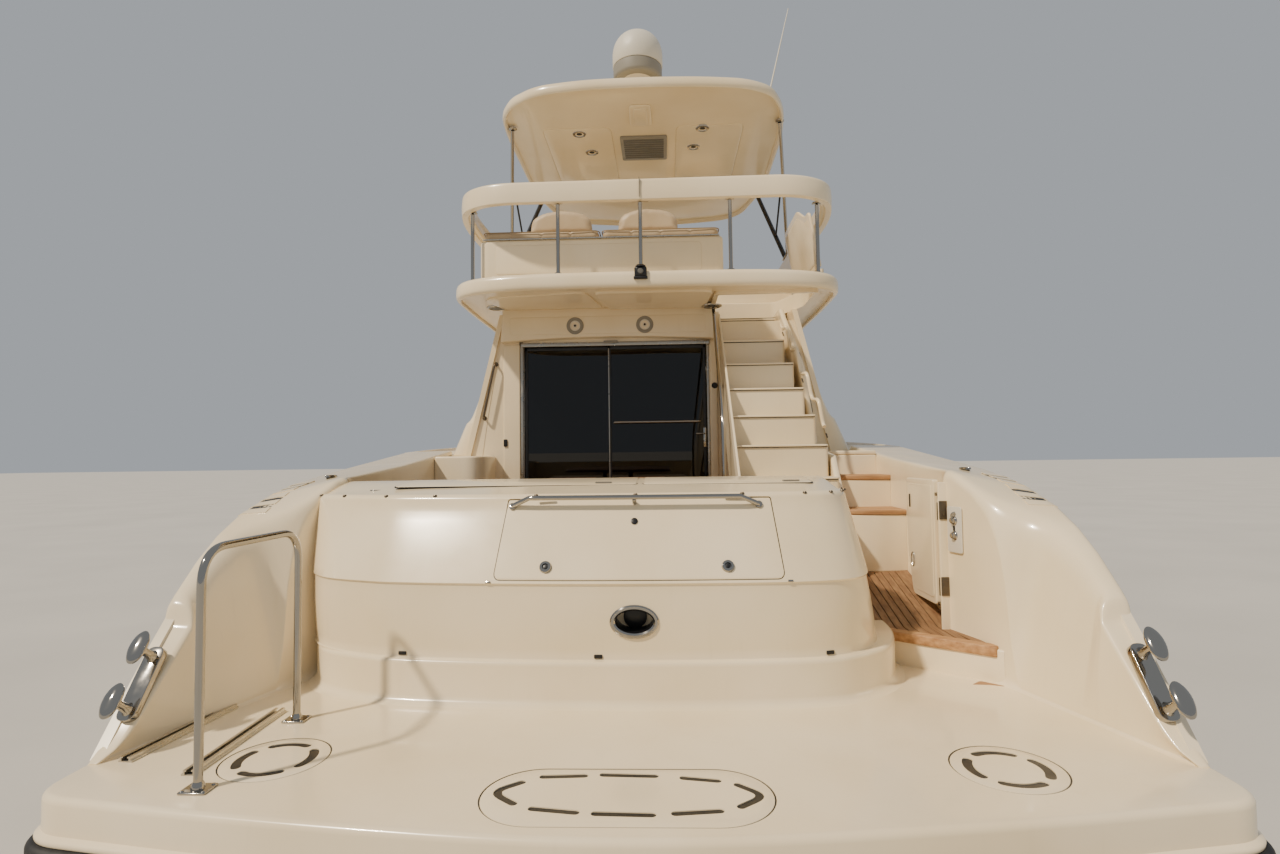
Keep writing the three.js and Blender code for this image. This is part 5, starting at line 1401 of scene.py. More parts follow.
def makeCorners():
    for side, name in bothSides:
        rings = []
        for z in [1.735, 1.745] + spread(1.78, 2.05, 6) + [2.062, 2.074, 2.086, 2.1, 2.12] + spread(2.2, 3.12, 12):
            out = lineAt(bulk["outer"], z)[0]
            inn = lineAt(bulk["inner"], z)[0]
            wall = houseHalf(z)
            reach = 0.42 + (out - wall) * 1.6
            outline = bends([(inn, -4.014, 0.003), (out - 0.03, -4.014, (out - inn) * 0.75), (out, -3.72, 0.22),
                (wall + 0.003, -4.0 + reach, 0.15), (wall - 0.04, -4.0 + reach, 0.003), (min(out - 0.06,
                wall - 0.01), -3.85, 0.05), (inn, -3.97, 0.003)], 6)
            rings.append([(side * x, y, z) for x, y in outline])
        newPiece(name + "HouseCorner", solid(rings), sharp=50)
        # grab handle up the corner; its dark metal colour is a painted reflection of the dark surroundings it mirrors
        x0, z0, x1, z1 = (1.455, 2.69, 1.563, 2.13) if side > 0 else (-1.492, 2.64, -1.606, 2.11)
        path = [(x0, -4.0, z0), (x0, -4.075, z0), (x1, -4.075, z1), (x1, -4.0, z1)]
        bar = bentPipe(path, 0.011, 0.035, 14, 6)
        roses = [inPlane(disc(0.022, 0.0, 0.006), (x, -4.012, z)) for x, z in ((x0, z0), (x1, z1))]
        newPiece(name + "CornerHandle", [bar, *roses], bronzeAndPaintedReflection)
    # the block in the port corner of the cockpit, under the side deck's level
    block = bends([(-1.945, -4.5, 0.02), (-1.56, -4.52, 0.12), (-1.5, -4.3, 0.12), (-1.5, -3.98, 0.003),
        (-1.945, -3.98, 0.003)], 7)
    newPiece("portCornerBlock", plate(block, soleTop + 0.001, 1.738, 0.02, 6))


def makeBulkhead():
    y = bulk["y"]
    x0, x1 = bulk["x0"], bulk["x1"]
    # the wall round the door opening, in four parts
    half = lambda z: houseHalf(z) - 0.01
    parts = []
    for side, inner in ((-1, x0 - 0.045), (1, 0.7)):
        rings = []
        for z in [soleTop + 0.001, 1.738] + spread(1.745, 3.12 if side < 0 else 3.02, 10):
            outer = 1.93 if z < 1.74 else half(z)
            a, b = (inner, -outer) if side < 0 else (outer, inner)
            if side > 0 and z < 1.74:
                a = 1.5
            rings.append([(a, y, z), (b, y, z), (b, y + 0.055, z), (a, y + 0.055, z)])
        parts.append(solid(rings))
    parts.append(boxPart(x0 - 0.01, 0.7, y, y + 0.055, bulk["top"], 3.12, 0.002))
    parts.append(boxPart(x1, 0.7, y - 0.001, y + 0.055, soleTop + 0.001, bulk["top"], 0.002))
    stand(newPiece("bulkheadWall", parts), "aft_bulkhead")
    # two soft pilasters beside the door
    for name, a, b in (("Port", -1.42, -1.255), ("Starboard", 0.605, 0.672)):
        shape = bends([(a, y - 0.014, 0.012), (b, y - 0.014, 0.012), (b, y + 0.01, 0.002), (a, y + 0.01, 0.002)], 5)
        newPiece("doorPilaster" + name, plate(shape, soleTop + 0.002, 2.825, 0.004))
    # sill, door frame and top track
    newPiece("doorSill", boxPart(x0 - 0.02, x1 + 0.02, y - 0.05, y + 0.07, soleTop + 0.001,
        bulk["foot"] - 0.004, 0.006))
    track = [boxPart(x0 - 0.03, x1 + 0.035, y - 0.022, y + 0.06, bulk["top"] - 0.008, bulk["top"] + 0.032, 0.004)]
    for k in range(3):
        yy = y - 0.018 + 0.022 * k
        track.append(boxPart(x0, x1, yy, yy + 0.005, bulk["foot"] - 0.006, bulk["foot"] + 0.002, 0.001))
    newPiece("doorTrack", track, brushedAluminium)
    jambs = [boxPart(x0 - 0.05, x0 - 0.001, y + 0.018, y + 0.06, bulk["foot"] - 0.004, bulk["top"], 0.003),
        boxPart(x0 - 0.03, x0 - 0.004, y - 0.024, y - 0.015, bulk["foot"] - 0.004, bulk["top"], 0.002),
        boxPart(x1 + 0.001, x1 + 0.028, y - 0.006, y + 0.06, bulk["foot"] - 0.004, bulk["top"], 0.003)]
    newPiece("doorJambs", jambs, brushedAluminium)
    # fascia with its two speakers; its lower edge is a flat arch
    arch = [(-1.35 + 1.93 * t, 2.846 + 0.03 * sin(pi * t)) for t in spread(0, 1, 22)]
    outline = [(-1.425, 2.842)] + arch + [(0.64, 2.842), (0.64, 3.157), (-1.4, 3.157)]
    front = inPlane(plate(outline, 0.0, 0.115, 0.012, 4), (0, y + 0.002, 0))
    newPiece("fasciaPanel", front)
    lip = inPlane(plate(oblong(-1.33, 0.56, 2.905, 3.075, 0.03, 5), 0.0, 0.007, 0.005), (0, y - 0.11, 0))
    newPiece("fasciaField", lip)
    for i, x in enumerate((-0.696, -0.023)):
        at = (x, y - 0.1165, 2.985)
        ring = lathe([(0.05, 0.004), (0.052, 0.009), (0.06, 0.012), (0.078, 0.01), (0.083, 0.004), (0.083, -0.003),
            (0.05, -0.003)], 40)
        newPiece("speakerRing" + str(i + 1), inPlane(ring, at), greyPlastic)
        cone = lathe([(0, 0.006), (0.012, 0.008), (0.018, 0.001), (0.035, -0.001), (0.046, 0.005), (0.052, 0.003),
            (0.052, -0.002), (0, -0.002)], 32)
        newPiece("speakerCone" + str(i + 1), inPlane(cone, at), whitePlastic)
        tip = lathe([(0, 0.013), (0.01, 0.01), (0.014, 0.004), (0.014, -0.001), (0, -0.001)], 20)
        newPiece("speakerTweeter" + str(i + 1), inPlane(tip, at), blackPlastic)
    # a door button on the pilaster, a socket in the port wall and a small lamp over the door
    newPiece("doorButton", inPlane(lathe([(0, 0.016), (0.02, 0.015), (0.026, 0.009), (0.03, 0.0), (0, 0.0)], 24),
        (0.645, y - 0.014, 2.396)), blackPlastic)
    newPiece("wallSocket", inPlane(boxPart(-0.018, 0.018, -0.036, 0.036, 0, 0.012, 0.004),
        (-1.4, y - 0.014, 1.865)), blackPlastic)
    newPiece("doorSwitch", inPlane(boxPart(-0.07, 0.07, -0.012, 0.012, 0, 0.02, 0.004), (-0.36, y - 0.022,
        2.838)), greyPlastic)


def pane(name, x0, x1, y0, z0, z1, node, body):
    # a framed sliding leaf: tinted glass in an anodised frame
    stand(newPiece(name + "Glass", boxPart(x0 + 0.01, x1 - 0.01, y0 + 0.007, y0 + 0.013, z0 + 0.01, z1 - 0.01,
        0.001), glass, body), node)
    w = 0.03
    bars = [boxPart(a, b, y0, y0 + 0.02, low, high, 0.003) for a, b, low, high in ((x0, x0 + w, z0, z1),
        (x1 - w, x1, z0, z1), (x0, x1, z0, z0 + w * 1.3), (x0, x1, z1 - w, z1))]
    newPiece(name + "Frame", bars, blackAnodised, body)


def makeDoors():
    z0, z1 = bulk["foot"] + 0.004, bulk["top"] - 0.012
    pane("fixedLeaf", bulk["x0"] + 0.004, -0.355, -3.988, z0, z1, "fixed_door_panel", "yacht")
    pane("slidingLeaf", -0.392, bulk["x1"] - 0.006, -4.018, z0, z1, "sliding_door_panel", "saloon_door")
    line = boxPart(-0.388, -0.378, -4.0215, -4.017, z0 + 0.02, z1 - 0.02, 0.001)
    newPiece("leafSeam", line, brushedAluminium, "saloon_door")
    rail = bentPipe([(-0.335, -4.018, 2.05), (-0.335, -4.047, 2.05), (0.5, -4.047, 2.05), (0.5, -4.018, 2.05)],
        0.011, 0.02, 14)
    newPiece("doorRail", rail, steel, "saloon_door")
    plateShape = boxPart(0.528, 0.556, -4.026, -4.017, 1.8, 1.99, 0.004)
    lever = bentPipe([(0.542, -4.026, 1.93), (0.542, -4.046, 1.93), (0.455, -4.046, 1.932)], 0.007, 0.012, 12)
    knob = inPlane(lathe([(0, 0.018), (0.01, 0.017), (0.013, 0.008), (0.013, 0), (0, 0)], 18), (0.542, -4.025, 1.86))
    newPiece("doorLatch", [plateShape, lever, knob], steel, "saloon_door")


makeCorners()
makeBulkhead()
makeDoors()
print("bulkhead and doors made")


# Stairs to the flybridge, with the moulded side wall outboard of them

stairs = {"going": 0.246, "rise": 0.251, "firstD": 2.435, "firstZ": soleTop + 0.207, "x0": 0.708, "count": 9,
    "wall": 0.05}


def stepAt(i):
    return stairs["firstD"] + i * stairs["going"], stairs["firstZ"] + i * stairs["rise"]


def stairSide(z):
    # the inner face of the outboard wall: upright at first, then leaning in with the house
    return 1.462 if z < 1.85 else 1.462 - (z - 1.85) * 0.15


def makeStairs():
    x0 = stairs["x0"]
    treads, noses, seams = [], [], []
    for i in range(stairs["count"]):
        d, z = stepAt(i)
        x1 = stairSide(z + 0.2)
        foot = soleTop + 0.001 if i < 4 else z - stairs["rise"] * (2.2 if i < 7 else 1.15)
        step, lip = (bends(inPlan([(x0, near, 0.012), (x1, near, 0.03), (x1, d + stairs["going"] + 0.03, 0.003),
            (x0, d + stairs["going"] + 0.03, 0.003)]), 4) for near in (d, d - 0.012))
        treads += [plate(step, foot, z - 0.022, 0.002, 1), plate(lip, z - 0.018, z - 0.001, 0.006, 3)]
        grip = inPlan([(x0 + 0.03, d + 0.02), (x1 - 0.035, d + 0.02), (x1 - 0.035, d + stairs["going"] - 0.03),
            (x0 + 0.03, d + stairs["going"] - 0.03)])
        noses.append(plate(grip, z - 0.002, z + 0.0005, 0.0005, 1))
        seams.append(boxPart(x0 + 0.006, x1 - 0.012, aft(d) - 0.009, aft(d) + 0.01, z - 0.0235, z - 0.0175, 0.001))
    stand(newPiece("stairTreads", treads), "stairs")
    newPiece("stairGrip", noses, nonSkid)
    newPiece("stairSeams", seams, blackPlastic)
    # outboard wall with a rounded aft edge, and on it a soft moulding that steps with the treads
    rings = []
    for z in spread(soleTop + 0.002, 3.118, 30):
        inner = stairSide(z)
        aftD = max(min(2.9 + max(0.0, z - 1.3) * 0.8, 4.34), 3.88 if z > deckEdge else 2.9)
        outline = bends(inPlan([(inner, aftD, 0.03), (inner + stairs["wall"], aftD, 0.03),
            (inner + stairs["wall"], 4.66, 0.003), (inner, 4.66, 0.003)]), 4)
        rings.append([(x, y, z) for x, y in outline])
    newPiece("stairWall", solid(rings), sharp=50)
    zig = []
    for i in range(3, stairs["count"]):
        d, z = stepAt(i)
        zig += [(aft(d) - 0.03, z - stairs["rise"] + 0.14, 0.07), (aft(d) - 0.03, z + 0.12, 0.07)]
    path = bends(zig[1:], 6, closed=False)
    path = [p for p in path if p[1] < 3.02 and p[0] > aft(3.35)]
    ridge = pipe([(stairSide(z) + 0.006, y, z) for y, z in path], 0.016, 12)
    newPiece("stairMoulding", ridge)
    lamps = []
    for i in (3, 5, 7):
        d, z = stepAt(i)
        lamps.append(inPlane(boxPart(-0.014, 0.014, -0.02, 0.02, 0, 0.006, 0.003), (stairSide(z) - 0.001,
            aft(d) + 0.1, z + 0.07), alongY))
    lamps = [([(2 * stairSide(p[2]) - p[0] - 0.004, p[1], p[2]) for p in part[0]], part[1]) for part in lamps]
    newPiece("stepLamps", lamps, blackPlastic)
    # inboard stringer that follows the flight
    string = bends([(2.36, soleTop + 0.002, 0.01), (2.36, 1.12, 0.05), (4.37, 3.1, 0.02), (4.37, 2.45, 0.01),
        (3.55, 1.55, 0.2), (3.2, soleTop + 0.002, 0.01)], 5)
    side = inPlane(plate(string, 0.0, 0.018, 0.004), (0.69, aftEdge, 0), alongY)
    newPiece("stairString", side)
    rail = bentPipe([(0.63, aft(3.3), soleTop + 0.004), (0.63, aft(3.3), 1.93), (0.63, aft(4.16), 3.1)], 0.0165,
        0.22, 16, 8)
    foot = shifted(lathe([(0, 0.012), (0.03, 0.011), (0.036, 0.004), (0.036, 0), (0, 0)], 24), 0.63, aft(3.3),
        soleTop + 0.001)
    top = shifted(lathe([(0, 0), (0.034, 0), (0.034, -0.006), (0.02, -0.012), (0, -0.012)], 24), 0.63,
        aft(4.165), 3.118)
    stand(newPiece("stairHandrail", [rail, foot, top], steel), "stair_handrail")


makeStairs()
print("cockpit and stairs made")


# House: smooth walls that lean in, with the side and front windows cut into them

house = {"thick": 0.05, "footZ": 1.5, "tall": 1.625, "sideWindow": [(4.92, 2.1, 0.06), (8.28, 2.25, 0.2),
    (7.5, 2.86, 0.08), (4.72, 2.86, 0.06)], "frontWindow": [(-1.28, 2.31, 0.06), (1.28, 2.31, 0.06),
    (0.96, 2.94, 0.06), (-0.96, 2.94, 0.06)]}


def offsetPlan(rows, bend, offset):
    # half a plan with round corners, moved out or in by the offset
    line = bends([(x, aft(d), bend if 0 < i < 5 else 0.0) for i, (x, d) in enumerate(rows)], 7, closed=False)
    return [(p[0] + n.x * offset, p[1] + n.y * offset) for p, n in zip(line, planNormals(line))]


def housePlan(t, inset=0.0):
    # the plan at a share t of the height between the foot and the head
    return offsetPlan(between(houseFoot, houseHead, t), 0.55, inset)


def houseAt(z, inset=0.0):
    return housePlan((z - house["footZ"]) / house["tall"], inset)


def houseShell(inset, thick, z0, z1):
    rings = []
    for z in spread(z0, z1, 8):
        inner = houseAt(z, inset - thick if inset <= 0 else inset + thick)
        rings.append(mirrored(houseAt(z, inset), z) + mirrored(inner, z, -1))
    return solid(rings)


def makeHouse():
    side = -1 if housePlan(0.0, 0.1)[3][0] > housePlan(0.0, 0.0)[3][0] else 1
    shell = newPiece("houseWalls", houseShell(0.0, -house["thick"] * side, 1.7, 3.124))
    opening = [(aft(d), z, r) for d, z, r in house["sideWindow"]]
    cutter = plate(bends(opening, 6), -2.5, 2.5, 0.001, 1)
    carve(shell, inPlane(cutter, (0, 0, 0), alongY))
    front = plate(bends(house["frontWindow"], 6), -6.0, -0.2, 0.001, 1)
    carve(shell, inPlane(front, (0, 0, 0)))
    stand(shell, "house")
    layer = 0.012 * side
    panes = (("sideGlassPort", "side_glass_port", -1), ("sideGlassStarboard", "side_glass_starboard", 1))
    for name, node, hand in panes:
        layerPiece = newPiece(name, houseShell(layer, 0.01 * side, 1.9, 3.0), glass)
        grown = [(y + (-0.015 if i in (0, 3) else 0.015), z + (-0.015 if i < 2 else 0.015), r) for i,
            (y, z, r) in enumerate(opening)]
        keep = plate(bends(grown, 6), 0.3 if hand > 0 else -2.6, 2.6 if hand > 0 else -0.3, 0.001, 1)
        carve(layerPiece, inPlane(keep, (0, 0, 0), alongY), "INTERSECT")
        stand(layerPiece, node)
    pane = newPiece("windscreenGlass", houseShell(layer, 0.01 * side, 1.9, 3.05), glass)
    grown = [(x * 1.01, z + (-0.012 if i < 2 else 0.012), r) for i, (x, z, r) in enumerate(house["frontWindow"])]
    keep = plate(bends(grown, 6), -6.0, -0.2, 0.001, 1)
    carve(pane, inPlane(keep, (0, 0, 0)), "INTERSECT")
    stand(pane, "windscreen")
    # black seals and bars at the side windows, and the windscreen's two mullions and three wipers
    for hand, name in capitalSides:
        seal = [(hand * (houseHalfAt(y, z) - 0.002), y, z) for y, z in bends(opening, 8)]
        newPiece("windowSeal" + name, pipe(seal + seal[:1], 0.011, 8), rubber)
        for y in (-2.6, -1.5):
            bar = [(hand * (houseHalfAt(y, z) - 0.009), y, z) for z in spread(2.16, 2.86, 8)]
            newPiece("windowBar" + name + str(int(-y * 10)), pipe(bar, 0.014, 8), blackPlastic)
    for x in (-0.4, 0.4):
        line = [(x, frontAt(x, z) + 0.006, z) for z in spread(2.3, 2.95, 10)]
        newPiece("windscreenBar" + ("Port" if x < 0 else "Starboard"), pipe(line, 0.016, 8), blackPlastic)
    for x in (-0.75, 0.0, 0.75):
        line = [(x + 0.32 * t, frontAt(x + 0.32 * t, 2.3 + 0.42 * t) + 0.03, 2.3 + 0.42 * t) for t in spread(0, 1, 8)]
        arm = pipe(line, 0.006, 8)
        base = shifted(lathe([(0, 0.03), (0.018, 0.028), (0.022, 0.0), (0, 0)], 16), x, frontAt(x, 2.28) + 0.02,
            2.268)
        newPiece("wiper" + str(int((x + 1) * 4)), [arm, base], blackPlastic)


def houseHalfAt(y, z):
    plan = houseAt(z)
    for p, q in zip(plan, plan[1:]):
        if p[1] <= y <= q[1] and q[1] > p[1]:
            return p[0] + (q[0] - p[0]) * (y - p[1]) / (q[1] - p[1])
    return plan[0][0]


def frontAt(x, z):
    plan = houseAt(z)
    for p, q in zip(plan, plan[1:]):
        if q[0] <= abs(x) <= p[0] and p[0] > q[0]:
            return p[1] + (q[1] - p[1]) * (p[0] - abs(x)) / (p[0] - q[0])
    return plan[-1][1]


makeHouse()
print("house made")


# Flybridge deck: a slab with a rounded lip, a shadow groove and a raised field on its underside

fly = {"plan": [(0.0, 3.365, 0.9), (1.25, 3.4, 0.5), (1.715, 3.64, 0.26), (1.745, 4.4, 0.3), (1.745, 6.5, 0.3),
    (1.65, 8.6, 0.6), (1.25, 9.75, 0.5), (0.65, 10.12, 0.5), (0.0, 10.2, 0.6)], "under": 3.126,
    "well": [(0.64, 3.72, 0.04), (1.49, 3.72, 0.04), (1.49, 4.25, 0.05), (1.3, 4.76, 0.05), (0.64, 4.76, 0.04)]}


def mirroredPlan(rows, port=None):
    return inPlan(rows + [(-x, d, r) for x, d, r in reversed(port or rows) if x > 0])


def makeFlyDeck():
    outline = bends(mirroredPlan(fly["plan"]), 10)
    u = fly["under"]
    profile = [(0.15, u + 0.03), (0.062, u + 0.03), (0.052, u + 0.026), (0.046, u + 0.006), (0.04, u), (0.03, u),
        (0.014, u + 0.006), (0.004, u + 0.022), (0.0, u + 0.045), (0.002, 3.225), (0.01, 3.25), (0.026, 3.265),
        (0.046, flyTop), (0.09, flyTop)]
    slab = newPiece("flybridgeMoulding", solid(insetRings(outline, profile)))
    wellLine = bends(inPlan(fly["well"]), 6)
    carve(slab, plate(wellLine, 3.0, 3.4, 0.001, 1))
    stand(slab, "flybridge_deck")
    section = [(0.004, 3.124), (0.004, 3.274), (-0.004, 3.282), (-0.026, 3.282), (-0.034, 3.271), (-0.034, 3.124)]
    around = list(zip(*insetRings(wellLine, section)))
    newPiece("stairwellTrim", skin(around + around[:1]))
    guard = inPlane(plate(bends([(0.6, 3.271, 0.003), (1.5, 3.271, 0.003), (1.47, 3.585, 0.05), (0.6, 3.585, 0.05)],
        5), -0.026, 0.0, 0.009), (0, aft(4.806), 0))
    newPiece("stairwellGuard", guard)
    # raised field under the overhang, between the door and the aft edge
    field = bends(inPlan([(-0.46, 3.6, 0.12), (0.6, 3.6, 0.12), (0.56, 4.24, 0.05), (-0.36, 4.24, 0.05)]), 8)
    newPiece("overhangField", plate(field, fly["under"] + 0.002, fly["under"] + 0.042, 0.018, 5))
    wide = bends(inPlan([(-1.5, 3.78, 0.2), (-0.52, 3.62, 0.12), (-0.42, 4.24, 0.05), (-1.36, 4.24, 0.05)]), 8)
    newPiece("overhangFieldPort", plate(wide, fly["under"] + 0.016, fly["under"] + 0.042, 0.01, 4))
    for i, (x, d, z) in enumerate(((-1.43, 4.165, fly["under"] + 0.027), (0.615, 4.165, fly["under"] + 0.001))):
        rim = lathe([(0.07, 0.004), (0.072, -0.008), (0.08, -0.012), (0.093, -0.006), (0.097, 0.004)], 40)
        newPiece("overhangLampRim" + str(i + 1), shifted(rim, x, aft(d), z), steel)
        newPiece("overhangLampLens" + str(i + 1), shifted(disc(0.0725, -0.006, 0.004), x, aft(d), z), greyDark)
    # gritted walking surface
    patch = bends(inPlan([(x, d, 0.1) for x, d in ((-1.6, 3.62), (0.55, 3.62), (0.55, 4.85), (1.6, 4.85),
        (1.6, 8.2), (-1.6, 8.2))]), 5)
    newPiece("flybridgeGrip", plate(patch, flyTop - 0.003, flyTop + 0.0015, 0.001, 1), nonSkid)
    stern = [boxPart(-0.086, 0.03, aft(3.345), aft(3.4), 3.188, 3.212, 0.006), boxPart(-0.08, 0.024, aft(3.342),
        aft(3.4), 3.21, 3.29, 0.012), shifted(lathe([(0, 0.0), (0.044, 0.0), (0.044, 0.01), (0.034, 0.02),
        (0, 0.024)], 24), -0.028, aft(3.372), 3.288)]
    newPiece("sternLight", stern, blackPlastic)
    lens = inPlane(lathe([(0, 0.012), (0.02, 0.01), (0.026, 0.0), (0, 0.0)], 20), (-0.028, aft(3.343), 3.25))
    newPiece("sternLightLens", lens, greyDark)


ringRail = {"path": [(-1.665, 5.249, 0), (-1.675, 4.05, 0.4), (-1.575, 3.62, 0.16), (-1.3, 3.455, 0.2),
    (0.0, 3.44, 0.5), (1.3, 3.425, 0.2), (1.585, 3.6, 0.16), (1.69, 4.05, 0.4), (1.665, 5.249, 0)],
    "posts": [(-1.52, 3.655), (-0.732, 3.462), (-0.028, 3.455), (0.732, 3.455), (1.5, 3.63)]}


def makeRail():
    path = bends(inPlan(ringRail["path"]), 10, closed=False)
    section = bends([(0.036, 3.88, 0.008), (0.042, 3.96, 0.04), (0.032, railTop, 0.03), (-0.055, railTop - 0.004,
        0.03), (-0.072, 3.975, 0.04), (-0.068, 3.9, 0.02), (-0.026, 3.893, 0.01), (-0.02, 3.88, 0.006)], 5)
    stand(newPiece("railMoulding", swept(path, section)), "aft_rail")
    strip = bends([(0.028, 3.893, 0.003), (0.032, 3.893, 0.004), (0.036, 3.908, 0.003), (-0.01, 3.908, 0.003),
        (-0.01, 3.893, 0.003)], 2)
    newPiece("railUnderStrip", swept(path, strip))
    newPiece("railSeam", boxPart(-0.0342, -0.0318, aft(3.383), aft(3.5), 3.9, railTop + 0.0006, 0.0005), greyDark)
    posts = []
    for i, (x, d) in enumerate(ringRail["posts"]):
        tube = shifted(lathe([(0, flyTop), (0.034, flyTop), (0.033, flyTop + 0.008), (0.018, flyTop + 0.014),
            (0.0165, flyTop + 0.03), (0.0165, 3.865), (0.018, 3.868), (0.0, 3.9)], 20), x, aft(d))
        posts.append(tube)
        half = 0.072 if i == 2 else 0.038
        posts.append(shifted(boxPart(-half, half, -0.026, 0.026, 3.884, 3.894, 0.002), x, aft(d)))
    newPiece("railStanchions", posts, steel)


clothOf = {"use_pressure": True, "uniform_pressure_force": 4.0, "tension_stiffness": 12,
    "compression_stiffness": 12, "bending_stiffness": 0.4, "quality": 4}
clothFrames = 20


def swell(piece, voxel, limit):
    # cloth under pressure, without weight; how far a point may move is capped
    remesh = piece.modifiers.new("remesh", "REMESH")
    remesh.mode = "VOXEL"
    remesh.voxel_size = voxel
    mesh = applied(piece)
    rest = [v.co.copy() for v in mesh.vertices]
    cloth = piece.modifiers.new("cloth", "CLOTH")
    for key, value in clothOf.items():
        setattr(cloth.settings, key, value)
    cloth.settings.effector_weights.gravity = 0
    cloth.point_cache.frame_start = 1
    cloth.point_cache.frame_end = clothFrames
    scene = bpy.context.scene
    for step in range(1, clothFrames + 1):
        scene.frame_set(step)
    mesh = applied(piece)
    for vertex, start in zip(mesh.vertices, rest):
        move = vertex.co - start
        if move.length > limit:
            vertex.co = start + move.normalized() * limit
    scene.frame_set(1)
    mesh.shade_smooth()
    return piece


def channel(piece, inside, depth, width):
    # press seams into a pad: inside(x, y, z) gives how far a point is from the nearest seam line
    for vertex in piece.data.vertices:
        away = inside(*vertex.co)
        if away < width:
            press = depth * (1 - away / width) ** 2
            vertex.co -= vertex.normal * press


def cushion(name, part, voxel, limit, seams=None, press=(0.012, 0.022)):
    # a vinyl pad blown up by the cloth's pressure, with its seams pressed in
    pad = swell(newPiece(name, part, vinyl), voxel, limit)
    if seams:
        channel(pad, seams, *press)
    return pad


def makeSettee():
    body = bends(inPlan([(-1.48, 3.7, 0.1), (0.7, 3.7, 0.06), (0.62, 4.33, 0.06), (-1.48, 4.33, 0.1)]), 6)
    base = plate(body, flyTop + 0.001, 3.655, 0.03, 6)
    stand(newPiece("setteeMoulding", base), "flybridge_settee")
    hole = plate(oblong(-1.33, 0.5, 3.34, 3.6, 0.04, 5), 0.0, 0.005, 0.004)
    newPiece("setteePanel", inPlane(hole, (0, aft(3.702), 0)))
    newPiece("setteeTrim", swept([(-1.44, aft(3.695)), (0.66, aft(3.695))], [(0.002, 3.652), (0.002, 3.662),
        (-0.02, 3.662), (-0.02, 3.652)]), aluminium)
    for i, (x0, x1) in enumerate(((-1.45, -0.4), (-0.385, 0.665))):
        outline = oblong(x0, x1, aft(3.72), aft(4.31), 0.06, 5)
        mid = (x0 + x1) / 2
        lines = lambda x, y, z, m=mid: min(abs(x - m + 0.26), abs(x - m - 0.26), abs(x - m))
        pad = cushion("setteePad" + str(i + 1), plate(outline, 3.663, 3.735, 0.022, 4), 0.016, 0.012, lines,
            (0.01, 0.022))
        edge = oblong(x0 + 0.004, x1 - 0.004, aft(3.724), aft(4.306), 0.06, 5)
        piping = pipe([(x, y, 3.727) for x, y in edge + edge[:1]], 0.005, 8)
        newPiece("setteePiping" + str(i + 1), piping, vinylDark)
    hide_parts("settee_cushion")
    # two rounded backrests
    for i, (x0, x1) in enumerate(((-1.04, -0.48), (-0.24, 0.3))):
        mid, wide = (x0 + x1) / 2, (x1 - x0) / 2
        arch = [(mid + wide, 3.735)] + [(mid + wide * cos(t), 3.8 + 0.17 * sin(t) ** 0.7) for t in
            spread(0, pi, 22)] + [(mid - wide, 3.735)]
        back = inPlane(plate(arch, 0.0, 0.11, 0.035, 5), (0, aft(3.94), 0))
        cushion("setteeBackrest" + str(i + 1), back, 0.016, 0.01)
    bench = oblong(-1.475, 0.665, aft(2.215), aft(2.74), 0.05, 5)
    seams = lambda x, y, z: min(abs(x + 0.405), abs(x - 0.13), abs(x + 0.94))
    pad = cushion("benchPad", plate(bench, 1.231, 1.322, 0.025, 4), 0.018, 0.01, seams)
    stand(pad, "cockpit_bench_cushion")


def makeSaloonSofa():
    base = plate(bends(inPlan([(-1.655, 7.39, 0.02), (-1.655, 4.71, 0.02), (-1.03, 4.71, 0.03),
        (-1.03, 7.39, 0.03)]), 4), soleTop + 0.002, 1.095, 0.012)
    newPiece("sofaBase", base, cherry)
    seats, backs = [], []
    for k in range(3):
        y0, y1 = aft(4.715) + 0.8925 * k, aft(4.715) + 0.8925 * k + 0.865
        seats.append(plate(oblong(-1.505, -1.022, y0, y1, 0.05, 4), 1.1, 1.236, 0.035, 4))
        backs.append(inPlane(plate(bends([(y0, 1.12, 0.05), (y1, 1.12, 0.05), (y1, 1.635, 0.08), (y0, 1.635, 0.08)],
            5), 0.0, 0.13, 0.045, 4), (-1.675, 0, 0), alongY))
    for name, parts in (("sofaSeats", seats), ("sofaBacks", backs)):
        cushion(name, joinParts(*parts), 0.02, 0.01)
    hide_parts("saloon_sofa")


def makeSunpad():
    outline = bends(inPlan([(-0.792, 11.508, 0.09), (0.792, 11.508, 0.09), (0.752, 11.942, 0.09),
        (-0.752, 11.942, 0.09)]), 5)
    seams = lambda x, y, z: min(abs(x + 0.27), abs(x - 0.27)) if z > 2.42 else 1.0
    pad = cushion("sunpadCushion", plate(outline, 2.404, 2.472, 0.025, 4), 0.016, 0.008, seams, (0.012, 0.025))
    stand(pad, "sunpad")


coaming = {"foot": [(1.69, 5.16), (1.69, 6.5), (1.6, 8.3), (1.25, 9.3), (0.65, 9.8), (0.0, 9.95)],
    "head": [(1.64, 5.16), (1.64, 6.45), (1.52, 8.1), (1.13, 9.0), (0.56, 9.4), (0.0, 9.52)]}


def coamingPlan(t, inset):
    rows = between(coaming["foot"], coaming["head"], t)
    side = -1 if planNormals(inPlan(rows))[0].x > 0 else 1
    return offsetPlan(rows, 0.45, inset * side)


